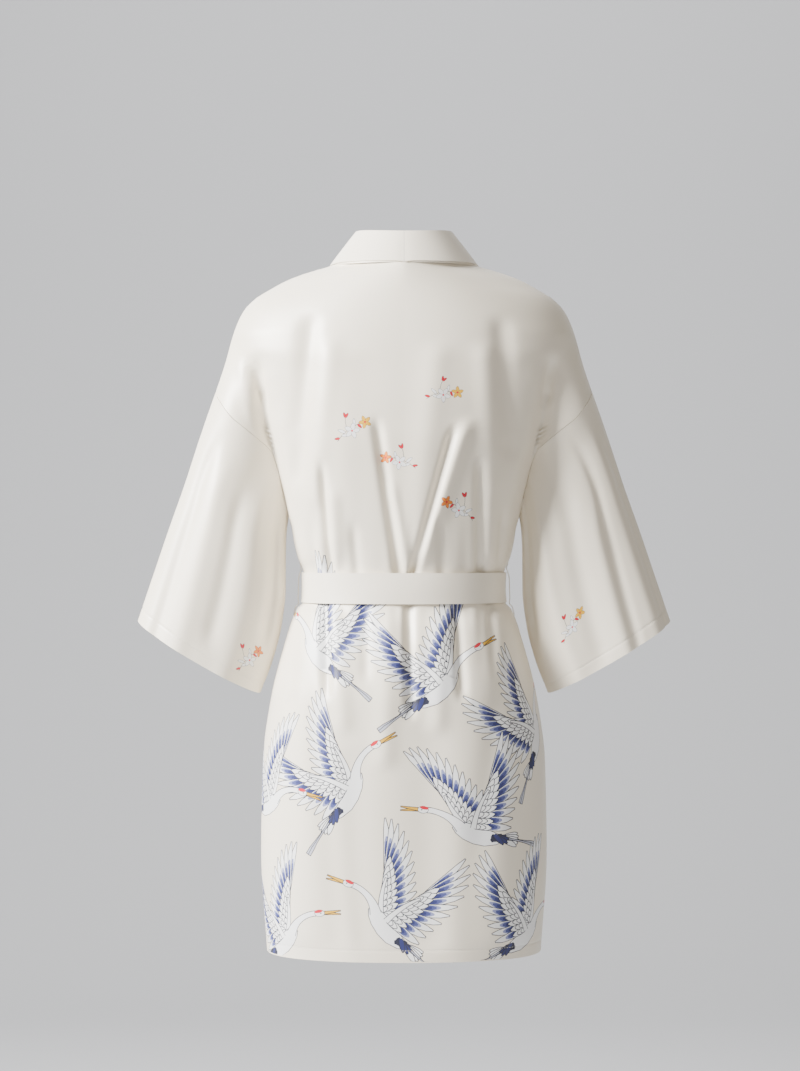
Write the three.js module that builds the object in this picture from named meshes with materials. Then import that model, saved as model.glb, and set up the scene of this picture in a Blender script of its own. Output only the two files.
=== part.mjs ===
import * as THREE from "three";

// Short satin kimono robe in its worn, hollow form. Millimetres, +Z up.
// The front faces -Y and the wearer's left is +X.
// The origin is the middle of the neck opening at the height of the shoulder points.

// Cloth and seams.
const WALL = 1.2;
const HEM_WALL = 2.2;
const BAND_HALF_WALL = 1.2;
const BAND_SINK = 0.6;
const BAND_LIFT = 0.8;
const BAND_LIFT_FLAT = 0.2;
const SEAM_PULL = 0.17;
const SLEEVE_CLEAR = 0.32;
const SHARED_COSINE = 0.4;
const FRONT_LAP = 4;

// Key heights.
const NECK_POINT_X = 89;
const SHOULDER_TIP_Z = -151;
const UNDERARM_Z = -300;
const LOBE_TOP_Z = -82;
const BELT_TOP_Z = -366;
const BELT_BOTTOM_Z = -402;
const HEM_FOLD_Z = -803;

// Columns and rows of the panels.
const BACK_COLUMNS = 14;
const FRONT_COLUMNS = 16;
const SIDE_COLUMNS = 3;
const ARMHOLE_ROWS = 14;
const SHOULDER_ROWS = [-5, -11, -18, -27, -38, -54, -68, -82, -100, -118, -135];
const LOWER_ROWS = [
  -320, -343, -359, -366, -384, -402, -409, -430, -465, -510, -560, -610, -660, -710, -760, -803, -817,
];
const SATIN_ROUGHNESS = 0.5;
const SECTION_STEPS = 240;
const SLOPE_STEP = 0.5;
const SLOPE_LIMIT = 6;

// Crease between the torso and the arm.
const CREASE_SOFT = 10;
const CREASE_FADE = 20;
const SHARE_MIN = 0.6;
const SHARE_MAX = 0.88;

// Outer line of the shoulder and the arm, seen from the back.
const SHOULDER = table(["z", "x"], [
  [0, 89],
  [-2, 97],
  [-6, 112],
  [-11, 127],
  [-18, 144],
  [-27, 160],
  [-38, 178],
  [-54, 193],
  [-82, 205],
  [-118, 215],
  [-151, 226],
  [-208, 245],
  [-274, 269],
  [-300, 278],
]);

// Torso under the shoulder and the inner end and depth of the arm's part of the section.
const ARM = table(["z", "torso", "inner", "depth"], [
  [-82, 205, 125, 36],
  [-105, 203, 128, 42],
  [-130, 188, 129, 47],
  [-160, 175, 145, 47],
  [-200, 162.5, 150, 46],
  [-222, 156, 147, 46],
  [-250, 149.5, 143.5, 46],
  [-275, 143.2, 141.2, 46],
  [-300, 138, 138, 46],
]);

// Armhole seam seen from the back.
const ARMHOLE = table(["z", "x"], [
  [-151, 226],
  [-165, 217],
  [-182, 204],
  [-196, 187],
  [-210, 170],
  [-222, 157.5],
  [-235, 152.4],
  [-250, 148.3],
  [-262, 145.6],
  [-275, 142.6],
  [-288, 139.9],
  [-300, 138],
]);

// Half width of the robe from the underarm to the hem.
const TORSO = table(["z", "x"], [
  [-300, 138],
  [-312, 134.5],
  [-328, 132],
  [-349, 127],
  [-366, 120],
  [-384, 119],
  [-402, 120.5],
  [-409, 128],
  [-448, 142],
  [-520, 160],
  [-592, 169],
  [-700, 171],
  [-817, 164],
]);

// Half sections of the back and the front: depth at the middle and roundness.
const BACK = table(["z", "y", "n"], [
  [0, 84, 1.5],
  [-11, 88, 1.55],
  [-38, 94, 1.75],
  [-82, 102, 2.05],
  [-120, 106, 2.2],
  [-170, 109, 2.3],
  [-200, 109, 2.35],
  [-250, 104, 2.4],
  [-300, 97, 2.4],
  [-340, 90, 2.35],
  [-366, 86, 2.3],
  [-402, 87, 2.3],
  [-430, 98, 2.35],
  [-470, 109, 2.4],
  [-520, 115, 2.4],
  [-592, 115, 2.4],
  [-700, 110, 2.4],
  [-817, 106, 2.4],
]);
const FRONT = table(["z", "y", "n"], [
  [0, 14, 2],
  [-5, 20, 2],
  [-11, 28, 2],
  [-30, 47, 2],
  [-60, 70, 2.05],
  [-100, 94, 2.1],
  [-150, 110, 2.2],
  [-200, 116, 2.3],
  [-250, 112, 2.3],
  [-300, 102, 2.3],
  [-340, 92, 2.3],
  [-366, 86, 2.3],
  [-402, 87, 2.3],
  [-430, 95, 2.3],
  [-470, 102, 2.3],
  [-520, 107, 2.3],
  [-592, 108, 2.3],
  [-700, 105, 2.3],
  [-817, 102, 2.3],
]);

// Line that the panel's columns follow beside the arm.
const CREASE = table(["z", "x"], [
  [0, 76],
  [-27, 138],
  [-54, 170],
  [-82, 184],
  [-105, 186],
  [-130, 175],
  [-160, 166.5],
  [-200, 159.5],
  [-222, 154.2],
  [-300, 124],
  [-409, 112],
  [-592, 152],
  [-817, 148],
]);

// Neck seam at the back and the top edge of the standing collar over it.
const NECK = { x: NECK_POINT_X, y: 85, drop: 3 };
const COLLAR_TOP = { x: 57, y: 60, z: 41, drop: 5 };

// Seam between a front and its collar band.
const FRONT_EDGE = table(["z", "x"], [
  [0, 89],
  [-5, 88.4],
  [-30, 86.5],
  [-60, 84],
  [-100, 77],
  [-150, 66],
  [-200, 51],
  [-250, 33],
  [-300, 14],
  [-350, -6],
  [-384, -14],
  [-402, -17],
  [-450, -22],
  [-600, -30],
  [-817, -36],
]);

// Free edge of the collar from its seam, and how far it lies on the front.
const COLLAR_EDGE = table(["z", "dx", "dy", "dz", "lie"], [
  [0, -32, 0, 41, 0],
  [-5, -32, 2, 42, 0],
  [-11, -34, 1, 41, 0],
  [-30, -40, 1, 34, 0.1],
  [-60, -44, 5, 26, 0.6],
  [-100, -46, 4, 20, 1],
  [-150, -47, 0, 17, 1],
  [-300, -47, 0, 17, 1],
  [-350, -48.5, 0, 12, 1],
  [-384, -50, 0, 4, 1],
  [-402, -50, 0, 0, 1],
  [-817, -50, 0, 0, 1],
]);
const LAP_FROM = 0.95;
const LAP_SPAN = 0.35;
const LAP_TOP_Z = -60;
const LAP_RUN = 100;

// Folds of the back: a line, its width and its depth, troughs below zero.
const FOLD_COLUMNS = ["topX", "topZ", "bottomX", "bottomZ", "width", "depth"];
const BACK_FOLDS = folds([
  [122, -70, 128, -150, 15, -3],
  [-40, -90, -12, -350, 17, 2.2],
  [30, -215, 6, -362, 10, -3],
  [-36, -215, -1, -362, 10, -3],
  [96, -290, 84, -362, 10, -3],
  [-92, -285, -86, -362, 10, -3],
  [66, -250, 50, -362, 13, 2],
  [-70, -270, -54, -362, 13, 2],
  [96, -406, 88, -500, 11, -4],
  [-4, -406, -6, -520, 11, -3.5],
  [-60, -406, -66, -500, 11, -3.5],
  [46, -406, 44, -560, 18, 2.5],
  [-30, -440, -28, -800, 26, -2.5],
  [104, -480, 118, -810, 30, 2.5],
  [-112, -460, -120, -810, 28, 2.5],
]);
const LEFT_FRONT_FOLDS = folds([
  [120, -90, 96, -240, 18, -3],
  [104, -250, 84, -362, 12, -3],
  [62, -270, 52, -362, 12, 2],
  [92, -406, 100, -520, 12, -3.5],
  [58, -430, 64, -560, 14, 2.2],
  [110, -500, 122, -810, 28, 2.5],
]);
const RIGHT_FRONT_FOLDS = folds([
  [118, -90, 100, -230, 18, -3],
  [100, -260, 90, -362, 12, -3],
  [90, -406, 98, -530, 12, -3.5],
  [112, -490, 120, -810, 28, 2.5],
]);
const FOLD_END = 26;
const FOLD_EDGE = 22;

// Sleeve: outer and inner line from the armhole to the cuff, and half depth.
const SLEEVE = table(["w", "outerX", "outerZ", "innerX", "innerZ", "depth"], [
  [0, 226, -151, 138, -300, 46],
  [0.1, 235.5, -178, 140.5, -321, 46],
  [0.2, 245, -206, 141.3, -343, 47],
  [0.4, 262.5, -260, 141.6, -386, 47],
  [0.6, 282, -315, 146.5, -430, 45],
  [0.8, 300, -368, 157, -471, 43],
  [1, 319, -424, 172, -510, 41],
]);
const SLEEVE_RINGS = [0.05, 0.11, 0.18, 0.27, 0.37, 0.48, 0.6, 0.72, 0.84, 0.945, 1];
const SLEEVE_EGG = 0.16;
const SLEEVE_BLEND = 0.38;
const CUFF_DROOP = 6;
const CUFF_FOLD_W = 0.945;
const SLEEVE_FOLD_START = 0.2;
const SLEEVE_FOLD_STOP = 0.15;
const SLEEVE_FOLD_LEFT_AT_STOP = 0.4;
const SLEEVE_FOLD_COLUMNS = ["side", "topTurn", "bottomTurn", "topW", "bottomW", "width", "depth"];
const LEFT_SLEEVE_FOLDS = folds([
  [1, 0.26, 0.3, 0.12, 0.98, 0.06, -3.5],
  [1, 0.42, 0.5, 0.2, 1.1, 0.08, 3],
  [1, 0.66, 0.68, 0.1, 0.9, 0.08, -4],
  [-1, 0.4, 0.36, 0.1, 1, 0.07, -3.5],
  [-1, 0.64, 0.6, 0.2, 1.1, 0.08, 3],
], SLEEVE_FOLD_COLUMNS);
const RIGHT_SLEEVE_FOLDS = folds([
  [1, 0.2, 0.34, 0.02, 1, 0.07, -4.5],
  [1, 0.4, 0.5, 0.15, 1.1, 0.08, 3],
  [1, 0.62, 0.66, 0.1, 0.8, 0.08, -4],
  [-1, 0.36, 0.4, 0.1, 1, 0.07, -3.5],
  [-1, 0.6, 0.64, 0.2, 1.1, 0.08, 3],
], SLEEVE_FOLD_COLUMNS);

// Belt, its loops, its knot and its free ends.
const BELT_WALL = 2;
const BELT_CLEAR = 0.8;
const BELT_FRONT_CLEAR = 5.8;
const BELT_COLUMNS = 56;
const LOOP = { halfWidth: 2, wall: 1 };
const LOOP_PATH = table(["z", "out"], [
  [-355, 0.95],
  [-361, 2.2],
  [-366, 5],
  [-373, 7.4],
  [-386, 8.2],
  [-396, 8],
  [-405, 5],
  [-411, 2.4],
  [-417, 1.1],
]);
const LOOP_ROWS = 12;
const KNOT = { x: -6, y: -107, z: -384, width: 25, depth: 12.6, height: 22, power: 0.86 };
const KNOT_RINGS = 9;
const KNOT_COLUMNS = 20;
const KNOT_GROOVE = { width: 0.2, depth: 0.16, tilt: 0.7 };
const TAIL_WALL = 2;
const TAIL_ROW_SPREAD = 1.5;
const TAIL_ROWS = 11;
const TAIL_COLUMNS = 4;
const TAIL_PATH = table(["s", "x", "out", "half", "bow"], [
  [0, 0, 17.5, 10, 0],
  [0.06, 2, 15.5, 12, 1],
  [0.14, 5, 11.5, 15, 2],
  [0.3, 9, 8.5, 17.5, 1.5],
  [0.6, 15, 8, 18, 1],
  [1, 20, 8.5, 18, 0.5],
]);
const TAIL_TOP_Z = -406.1;
const LEFT_TAIL = { side: 1, x: 5.2, bottomZ: -700 };
const RIGHT_TAIL = { side: -1, x: -17.2, bottomZ: -728 };

// Rows of numbers as named columns over their first column, with slopes for a smooth curve.
function table(names, rows) {
  const sorted = [...rows].sort((a, b) => a[0] - b[0]);
  const keys = sorted.map((row) => row[0]);
  const columns = {};
  names.forEach((name, k) => {
    const values = sorted.map((row) => row[k]);
    columns[name] = { values, slopes: monotoneSlopes(keys, values) };
  });
  return { keys, columns };
}

function monotoneSlopes(keys, values) {
  const steps = keys.slice(1).map((key, i) => (values[i + 1] - values[i]) / (key - keys[i]));
  return keys.map((_, i) => {
    if (i === 0) {
      return steps[0];
    }
    if (i === steps.length) {
      return steps[i - 1];
    }
    const product = steps[i - 1] * steps[i];
    return product <= 0 ? 0 : (2 * product) / (steps[i - 1] + steps[i]);
  });
}

// Value of a column at a key, on a monotone cubic through the rows.
function at(source, name, key) {
  const { keys, columns } = source;
  const { values, slopes } = columns[name];
  const last = keys.length - 1;
  if (key <= keys[0]) {
    return values[0];
  }
  if (key >= keys[last]) {
    return values[last];
  }
  let i = 0;
  while (key > keys[i + 1]) {
    i += 1;
  }
  const span = keys[i + 1] - keys[i];
  const s = (key - keys[i]) / span;
  const a = (1 + 2 * s) * (1 - s) ** 2;
  const b = s * (1 - s) ** 2;
  const c = s * s * (3 - 2 * s);
  const d = s * s * (s - 1);
  return a * values[i] + b * span * slopes[i] + c * values[i + 1] + d * span * slopes[i + 1];
}

function folds(rows, names = FOLD_COLUMNS) {
  return rows.map((row) => Object.fromEntries(names.map((name, k) => [name, row[k]])));
}

function smooth(value) {
  const s = Math.min(1, Math.max(0, value));
  return s * s * (3 - 2 * s);
}

function mix(a, b, s) {
  return a + (b - a) * s;
}

// Half width of the torso part of a section.
function torsoHalf(z) {
  if (z > LOBE_TOP_Z) {
    return at(SHOULDER, "x", z);
  }
  return z > UNDERARM_Z ? at(ARM, "torso", z) : at(TORSO, "x", z);
}

// Half width at which a body panel ends: shoulder line, armhole seam or side seam.
function panelEnd(z) {
  if (z >= SHOULDER_TIP_Z) {
    return at(SHOULDER, "x", z);
  }
  return z > UNDERARM_Z ? at(ARMHOLE, "x", z) : at(TORSO, "x", z);
}

// Depth of a section at x: the torso and the arm joined with a soft crease.
function sectionDepth(side, x, z) {
  const reach = Math.abs(x);
  const half = torsoHalf(z);
  const n = at(side, "n", z);
  const torso = reach < half ? at(side, "y", z) * (1 - (reach / half) ** n) ** (1 / n) : 0;
  if (z >= LOBE_TOP_Z || z <= UNDERARM_Z) {
    return torso;
  }
  const outer = at(SHOULDER, "x", z);
  const inner = at(ARM, "inner", z);
  const along = (2 * reach - outer - inner) / (outer - inner);
  const arm = Math.abs(along) < 1 ? at(ARM, "depth", z) * Math.sqrt(1 - along ** 2) : 0;
  const soft = CREASE_SOFT * Math.min(1, arm / CREASE_FADE);
  return (torso + arm + Math.hypot(torso - arm, soft)) / 2;
}

// Outward push of the overlapping part of the outer front.
function lapOffset(x, z, lap) {
  const across = smooth((LAP_FROM - x / torsoHalf(z)) / LAP_SPAN);
  const down = smooth((LAP_TOP_Z - z) / LAP_RUN);
  return lap * across * down;
}

// Displacement by the folds that pass a point of a panel.
function foldDepth(list, x, z, end) {
  const edge = smooth((end - Math.abs(x)) / FOLD_EDGE);
  return list.reduce((sum, fold) => {
    const s = (z - fold.topZ) / (fold.bottomZ - fold.topZ);
    const centre = mix(fold.topX, fold.bottomX, s);
    const start = smooth((fold.topZ - z) / FOLD_END);
    const stop = smooth((z - fold.bottomZ) / FOLD_END);
    const bump = Math.exp(-(((x - centre) / fold.width) ** 2));
    return sum + fold.depth * bump * start * stop * edge;
  }, 0);
}

// Points of a half section from its middle end to the panel's end, at shares of its arc.
function halfRow(side, sign, z, from, columns, lap, foldList) {
  const end = panelEnd(z);
  const dense = [];
  for (let k = 0; k <= SECTION_STEPS; k += 1) {
    const x = from + (end - from) * Math.sin((k / SECTION_STEPS) * (Math.PI / 2));
    dense.push(new THREE.Vector2(x, k === SECTION_STEPS && closesAt(z) ? 0 : sectionDepth(side, x, z)));
  }
  const lengths = [0];
  for (let k = 1; k < dense.length; k += 1) {
    lengths.push(lengths[k - 1] + dense[k].distanceTo(dense[k - 1]));
  }
  const total = lengths[lengths.length - 1];
  const creaseX = at(CREASE, "x", z);
  const creaseAt = dense.findIndex((p) => p.x >= creaseX);
  const share = Math.min(SHARE_MAX, Math.max(SHARE_MIN, lengths[Math.max(0, creaseAt)] / total));
  const row = [];
  for (let j = 0; j <= columns; j += 1) {
    const inner = columns - SIDE_COLUMNS;
    const s = j <= inner ? (share * j) / inner : share + ((1 - share) * (j - inner)) / SIDE_COLUMNS;
    row.push(pointAtLength(dense, lengths, s * total));
  }
  return row.map((p, j) => {
    const last = j === columns;
    const normal = sectionNormal(side, p.x, z);
    const push = last ? 0 : lapOffset(p.x, z, lap) + foldDepth(foldList, p.x, z, end);
    return new THREE.Vector3(p.x + normal.x * push, sign * (p.y + normal.y * push), z);
  });
}

// Whether a section runs to the middle plane, as on the shoulder line and the side seam.
function closesAt(z) {
  return z >= SHOULDER_TIP_Z || z <= UNDERARM_Z;
}

function pointAtLength(points, lengths, wanted) {
  let k = 1;
  while (k < points.length - 1 && lengths[k] < wanted) {
    k += 1;
  }
  const s = (wanted - lengths[k - 1]) / (lengths[k] - lengths[k - 1]);
  return points[k - 1].clone().lerp(points[k], Math.min(1, Math.max(0, s)));
}

// Level outward normal of a section, for the side whose depth is positive.
function sectionNormal(side, x, z) {
  const rise = sectionDepth(side, x + SLOPE_STEP, z) - sectionDepth(side, x - SLOPE_STEP, z);
  const slope = rise / (2 * SLOPE_STEP);
  const limited = Math.max(-SLOPE_LIMIT, Math.min(SLOPE_LIMIT, slope));
  return new THREE.Vector2(-limited, 1).normalize();
}

// Point of the front's cloth at x, pushed outward, also past the middle.
function frontPoint(x, z, out) {
  const depth = sectionDepth(FRONT, x, z);
  const normal = sectionNormal(FRONT, x, z);
  return new THREE.Vector3(x + normal.x * out, -(depth + normal.y * out), z);
}

function bodyRows() {
  const armhole = [];
  for (let k = 0; k <= ARMHOLE_ROWS; k += 1) {
    armhole.push(mix(SHOULDER_TIP_Z, UNDERARM_Z, k / ARMHOLE_ROWS));
  }
  return [...SHOULDER_ROWS, ...armhole, ...LOWER_ROWS];
}

// Neck seam from the centre back to the neck point.
function neckRow() {
  const row = [];
  for (let j = 0; j <= BACK_COLUMNS; j += 1) {
    const turn = (j / BACK_COLUMNS) * (Math.PI / 2);
    const closing = j === BACK_COLUMNS ? 0 : Math.cos(turn);
    row.push(new THREE.Vector3(NECK.x * Math.sin(turn), NECK.y * closing, -NECK.drop * closing ** 2));
  }
  return row;
}

function mirrored(point) {
  return new THREE.Vector3(-point.x, point.y, point.z);
}

// Sheet of cloth through rows of points; a row of one point is a corner.
function sheet(rows, { closed = false, flipped = false } = {}) {
  const points = [];
  const index = rows.map((row) => row.map((point) => points.push(point.clone()) - 1));
  const faces = [];
  for (let i = 0; i + 1 < index.length; i += 1) {
    const upper = index[i];
    const lower = index[i + 1];
    const count = Math.max(upper.length, lower.length) - (closed ? 0 : 1);
    for (let j = 0; j < count; j += 1) {
      const a = upper[j % upper.length];
      const b = upper[(j + 1) % upper.length];
      const c = lower[j % lower.length];
      const d = lower[(j + 1) % lower.length];
      if (upper.length === 1) {
        faces.push([a, d, c]);
      } else if (lower.length === 1) {
        faces.push([a, b, c]);
      } else if (points[a].distanceTo(points[d]) <= points[b].distanceTo(points[c])) {
        faces.push([a, b, d], [a, d, c]);
      } else {
        faces.push([a, b, c], [b, d, c]);
      }
    }
  }
  const turned = flipped ? faces.map(([a, b, c]) => [a, c, b]) : faces;
  return { points, faces: turned, normals: vertexNormals(points, turned) };
}

function vertexNormals(points, faces) {
  const normals = points.map(() => new THREE.Vector3());
  for (const [a, b, c] of faces) {
    const edge = points[b].clone().sub(points[a]);
    const face = edge.cross(points[c].clone().sub(points[a]));
    normals[a].add(face);
    normals[b].add(face);
    normals[c].add(face);
  }
  return normals.map((normal) => normal.normalize());
}

// One normal for sheets that run on into each other at a point; a sharp fold keeps its two.
function shareNormals(sheets) {
  const keyOf = (point) => point.toArray().map((value) => value.toFixed(2)).join(" ");
  const shared = new Map();
  for (const { points, normals } of sheets) {
    points.forEach((point, k) => {
      const key = keyOf(point);
      shared.set(key, [...(shared.get(key) ?? []), normals[k]]);
    });
  }
  for (const item of sheets) {
    item.normals = item.points.map((point, k) => {
      const own = item.normals[k];
      const near = shared.get(keyOf(point)).filter((normal) => normal.dot(own) > SHARED_COSINE);
      return near.reduce((sum, normal) => sum.add(normal), new THREE.Vector3()).normalize();
    });
  }
}

// Edges that only one face has, as a map from each start to its end.
function boundary(faces) {
  const edges = new Map();
  for (const [a, b, c] of faces) {
    for (const [from, to] of [[a, b], [b, c], [c, a]]) {
      edges.set(`${from} ${to}`, [from, to]);
    }
  }
  const next = new Map();
  for (const [from, to] of edges.values()) {
    if (!edges.has(`${to} ${from}`)) {
      next.set(from, to);
    }
  }
  return next;
}

// Draw the edges of a sheet a little into it, so that seams stay open by a hair.
function pullIn(item) {
  const next = boundary(item.faces);
  const previous = new Map([...next].map(([from, to]) => [to, from]));
  const centres = item.points.map(() => new THREE.Vector3());
  const counts = item.points.map(() => 0);
  for (const face of item.faces) {
    for (const vertex of face) {
      for (const other of face) {
        centres[vertex].add(item.points[other]);
        counts[vertex] += 1;
      }
    }
  }
  const moved = item.points.map((point) => point.clone());
  for (const vertex of next.keys()) {
    const along = item.points[next.get(vertex)].clone().sub(item.points[previous.get(vertex)]).normalize();
    const inward = centres[vertex].divideScalar(counts[vertex]).sub(item.points[vertex]);
    inward.addScaledVector(along, -inward.dot(along)).normalize();
    moved[vertex].addScaledVector(inward, SEAM_PULL);
  }
  item.points = moved;
}

// Closed wall round a sheet, out to one side and in to the other.
function wallGeometry(item, outward, inward) {
  const { points, normals, faces } = item;
  const count = points.length;
  const outer = points.map((point, k) => point.clone().addScaledVector(normals[k], outward));
  const inner = points.map((point, k) => point.clone().addScaledVector(normals[k], -inward(point)));
  const triangles = [];
  for (const [a, b, c] of faces) {
    triangles.push(a, b, c, a + count, c + count, b + count);
  }
  for (const [a, b] of boundary(faces)) {
    triangles.push(b, a, a + count, b, a + count, b + count);
  }
  return geometry([...outer, ...inner], triangles);
}

function geometry(points, triangles) {
  const result = new THREE.BufferGeometry();
  result.setAttribute("position", new THREE.Float32BufferAttribute(points.flatMap((p) => p.toArray()), 3));
  result.setIndex(triangles);
  result.computeVertexNormals();
  return result;
}

function clothWall(foldZ) {
  return (point) => (point.z <= foldZ ? HEM_WALL : WALL);
}

// Half of the back in the wearer's left, from the centre to the shoulder and side seams.
function backHalf(foldList) {
  const rows = bodyRows().map((z) => halfRow(BACK, 1, z, 0, BACK_COLUMNS, 0, foldList));
  return [neckRow(), ...rows];
}

function backSheet() {
  const left = backHalf(BACK_FOLDS);
  const right = backHalf(BACK_FOLDS.map((fold) => ({ ...fold, topX: -fold.topX, bottomX: -fold.bottomX })));
  const rows = left.map((row, i) => [...right[i].slice(1).reverse().map(mirrored), ...row]);
  return sheet(rows);
}

function frontRows(lap, foldList) {
  const rows = bodyRows().map((z) => {
    const row = halfRow(FRONT, -1, z, at(FRONT_EDGE, "x", z), FRONT_COLUMNS, lap, foldList);
    return row.reverse();
  });
  return [[new THREE.Vector3(NECK_POINT_X, 0, 0)], ...rows];
}

function frontSheet(rows, side) {
  return side > 0 ? sheet(rows) : sheet(rows.map((row) => row.map(mirrored)), { flipped: true });
}

// Closed ring of the armhole, from the shoulder tip by the front to the underarm and back.
function armholeRing(front, back) {
  const first = SHOULDER_ROWS.length + 1;
  const ring = [];
  for (let k = 0; k <= ARMHOLE_ROWS; k += 1) {
    ring.push(front[first + k][0]);
  }
  for (let k = ARMHOLE_ROWS - 1; k > 0; k -= 1) {
    ring.push(back[first + k][BACK_COLUMNS]);
  }
  return ring;
}

function sleeveDepth(list, side, turn, w) {
  return list.reduce((sum, fold) => {
    if (fold.side !== side) {
      return sum;
    }
    const s = (w - fold.topW) / (fold.bottomW - fold.topW);
    const centre = mix(fold.topTurn, fold.bottomTurn, Math.min(1, Math.max(0, s)));
    const bump = Math.exp(-(((turn - centre) / fold.width) ** 2));
    const start = smooth((w - fold.topW) / SLEEVE_FOLD_START);
    const stop = smooth((fold.bottomW - w) / SLEEVE_FOLD_STOP + SLEEVE_FOLD_LEFT_AT_STOP);
    return sum + fold.depth * bump * start * stop;
  }, 0);
}

function sleeveRing(w, count, foldList) {
  const outer = new THREE.Vector2(at(SLEEVE, "outerX", w), at(SLEEVE, "outerZ", w));
  const inner = new THREE.Vector2(at(SLEEVE, "innerX", w), at(SLEEVE, "innerZ", w));
  const half = outer.clone().sub(inner).divideScalar(2);
  const reach = half.length();
  const depth = at(SLEEVE, "depth", w);
  const ring = [];
  for (let k = 0; k < count; k += 1) {
    const turn = (2 * Math.PI * k) / count;
    const cos = Math.cos(turn);
    const sin = k === count / 2 || k === 0 ? 0 : Math.sin(turn);
    const side = sin > 0 ? -1 : 1;
    const share = Math.min(k, count - k) / (count / 2);
    const push = sleeveDepth(foldList, side, share, w);
    const across = new THREE.Vector2(cos / reach, sin / depth).normalize();
    const along = reach * cos + across.x * push;
    const y = -(depth * sin * (1 + SLEEVE_EGG * cos) + across.y * push);
    const x = inner.x + half.x + (half.x / reach) * along;
    const z = inner.y + half.y + (half.y / reach) * along - CUFF_DROOP * Math.abs(sin) * w;
    ring.push(new THREE.Vector3(x, y, z));
  }
  return ring;
}

function sleeveSheet(armhole, foldList, side) {
  const start = sleeveRing(0, armhole.length, []);
  const rows = [armhole];
  for (const w of SLEEVE_RINGS) {
    const hold = w < SLEEVE_BLEND ? (1 - w / SLEEVE_BLEND) ** 2 : 0;
    const ring = sleeveRing(w, armhole.length, foldList);
    ring.forEach((point, k) => {
      point.addScaledVector(armhole[k].clone().sub(start[k]), hold);
    });
    rows.push(ring);
  }
  const placed = side > 0 ? rows : rows.map((row) => row.map(mirrored));
  return sheet(placed, { closed: true, flipped: side < 0 });
}

// Wall of a sleeve, doubled where its cuff is turned up.
function sleeveWall(item, ringSize) {
  const folded = SLEEVE_RINGS.filter((w) => w >= CUFF_FOLD_W).length * ringSize;
  const doubled = new Set(item.points.slice(-folded));
  return (point) => (doubled.has(point) ? HEM_WALL : WALL);
}

// Foot of the band's middle at its seam, sunk into the panel's wall and lifted where it stands.
function bandFoot(point, normal, edge, stand) {
  const foot = point.clone().addScaledVector(normal, -BAND_SINK);
  return foot.addScaledVector(edge.clone().sub(foot).normalize(), mix(BAND_LIFT_FLAT, BAND_LIFT, stand));
}

// Middle of the collar band at a station of the neck or the front edge, in three points across.
function collarRows(frontList, neckNormals, edgeNormals, lap) {
  const rows = neckRow().map((point, j) => {
    const turn = (j / BACK_COLUMNS) * (Math.PI / 2);
    const closing = j === BACK_COLUMNS ? 0 : Math.cos(turn);
    const top = new THREE.Vector3(
      COLLAR_TOP.x * Math.sin(turn),
      COLLAR_TOP.y * closing,
      COLLAR_TOP.z - COLLAR_TOP.drop * closing ** 2,
    );
    return [bandFoot(point, neckNormals[j], top, 1), top];
  });
  bodyRows().forEach((z, i) => {
    const stitched = frontList[i + 1][FRONT_COLUMNS];
    const x = at(FRONT_EDGE, "x", z) + at(COLLAR_EDGE, "dx", z);
    const edgeZ = z + at(COLLAR_EDGE, "dz", z);
    const lying = frontPoint(x, Math.min(0, edgeZ), lapOffset(x, edgeZ, lap) - BAND_SINK);
    const standing = stitched.y + at(COLLAR_EDGE, "dy", z);
    const lie = at(COLLAR_EDGE, "lie", z);
    const edge = new THREE.Vector3(x, mix(standing, lying.y, lie), edgeZ);
    const seam = bandFoot(stitched, edgeNormals[i], edge, 1 - lie);
    rows.push([seam, edge]);
    if (lie === 1) {
      const middleX = (seam.x + x) / 2;
      const middleZ = (z + edgeZ) / 2;
      const middle = frontPoint(middleX, middleZ, lapOffset(middleX, middleZ, lap) - BAND_SINK);
      rows[rows.length - 1].splice(1, 0, middle);
    }
  });
  return rows.map((row) => (row.length === 3 ? row : [row[0], row[0].clone().lerp(row[1], 0.5), row[1]]));
}

// Normals of a front along its edge, row by row below its corner at the neck.
function edgeNormals(item, side) {
  return bodyRows().map((_, i) => {
    const normal = item.normals[1 + i * (FRONT_COLUMNS + 1) + FRONT_COLUMNS];
    return side > 0 ? normal : mirrored(normal);
  });
}

function collarSheet(rows, side) {
  return side > 0 ? sheet(rows) : sheet(rows.map((row) => row.map(mirrored)), { flipped: true });
}

// Ring of the belt on the body's section at a height.
function beltRing(z) {
  const half = torsoHalf(z);
  const ring = [];
  for (let k = 0; k < BELT_COLUMNS; k += 1) {
    const turn = (2 * Math.PI * k) / BELT_COLUMNS;
    const side = Math.sin(turn) > 0 ? FRONT : BACK;
    const sign = side === FRONT ? -1 : 1;
    const n = at(side, "n", z);
    const cos = Math.cos(turn);
    const sin = Math.sin(turn);
    const x = half * Math.sign(cos) * Math.abs(cos) ** (2 / n);
    const y = at(side, "y", z) * Math.abs(sin) ** (2 / n);
    const slope = new THREE.Vector2(
      Math.sign(x) * (Math.abs(x) / half) ** (n - 1) / half,
      (y / at(side, "y", z)) ** (n - 1) / at(side, "y", z),
    ).normalize();
    const front = side === FRONT ? smooth((LAP_FROM - Math.abs(x) / half) / LAP_SPAN) : 0;
    const out = mix(BELT_CLEAR, BELT_FRONT_CLEAR, front);
    ring.push(new THREE.Vector3(x + slope.x * out, sign * (y + slope.y * out), z));
  }
  return ring;
}

function beltSheet() {
  return sheet([BELT_TOP_Z, (BELT_TOP_Z + BELT_BOTTOM_Z) / 2, BELT_BOTTOM_Z].map(beltRing), { closed: true });
}

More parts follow.
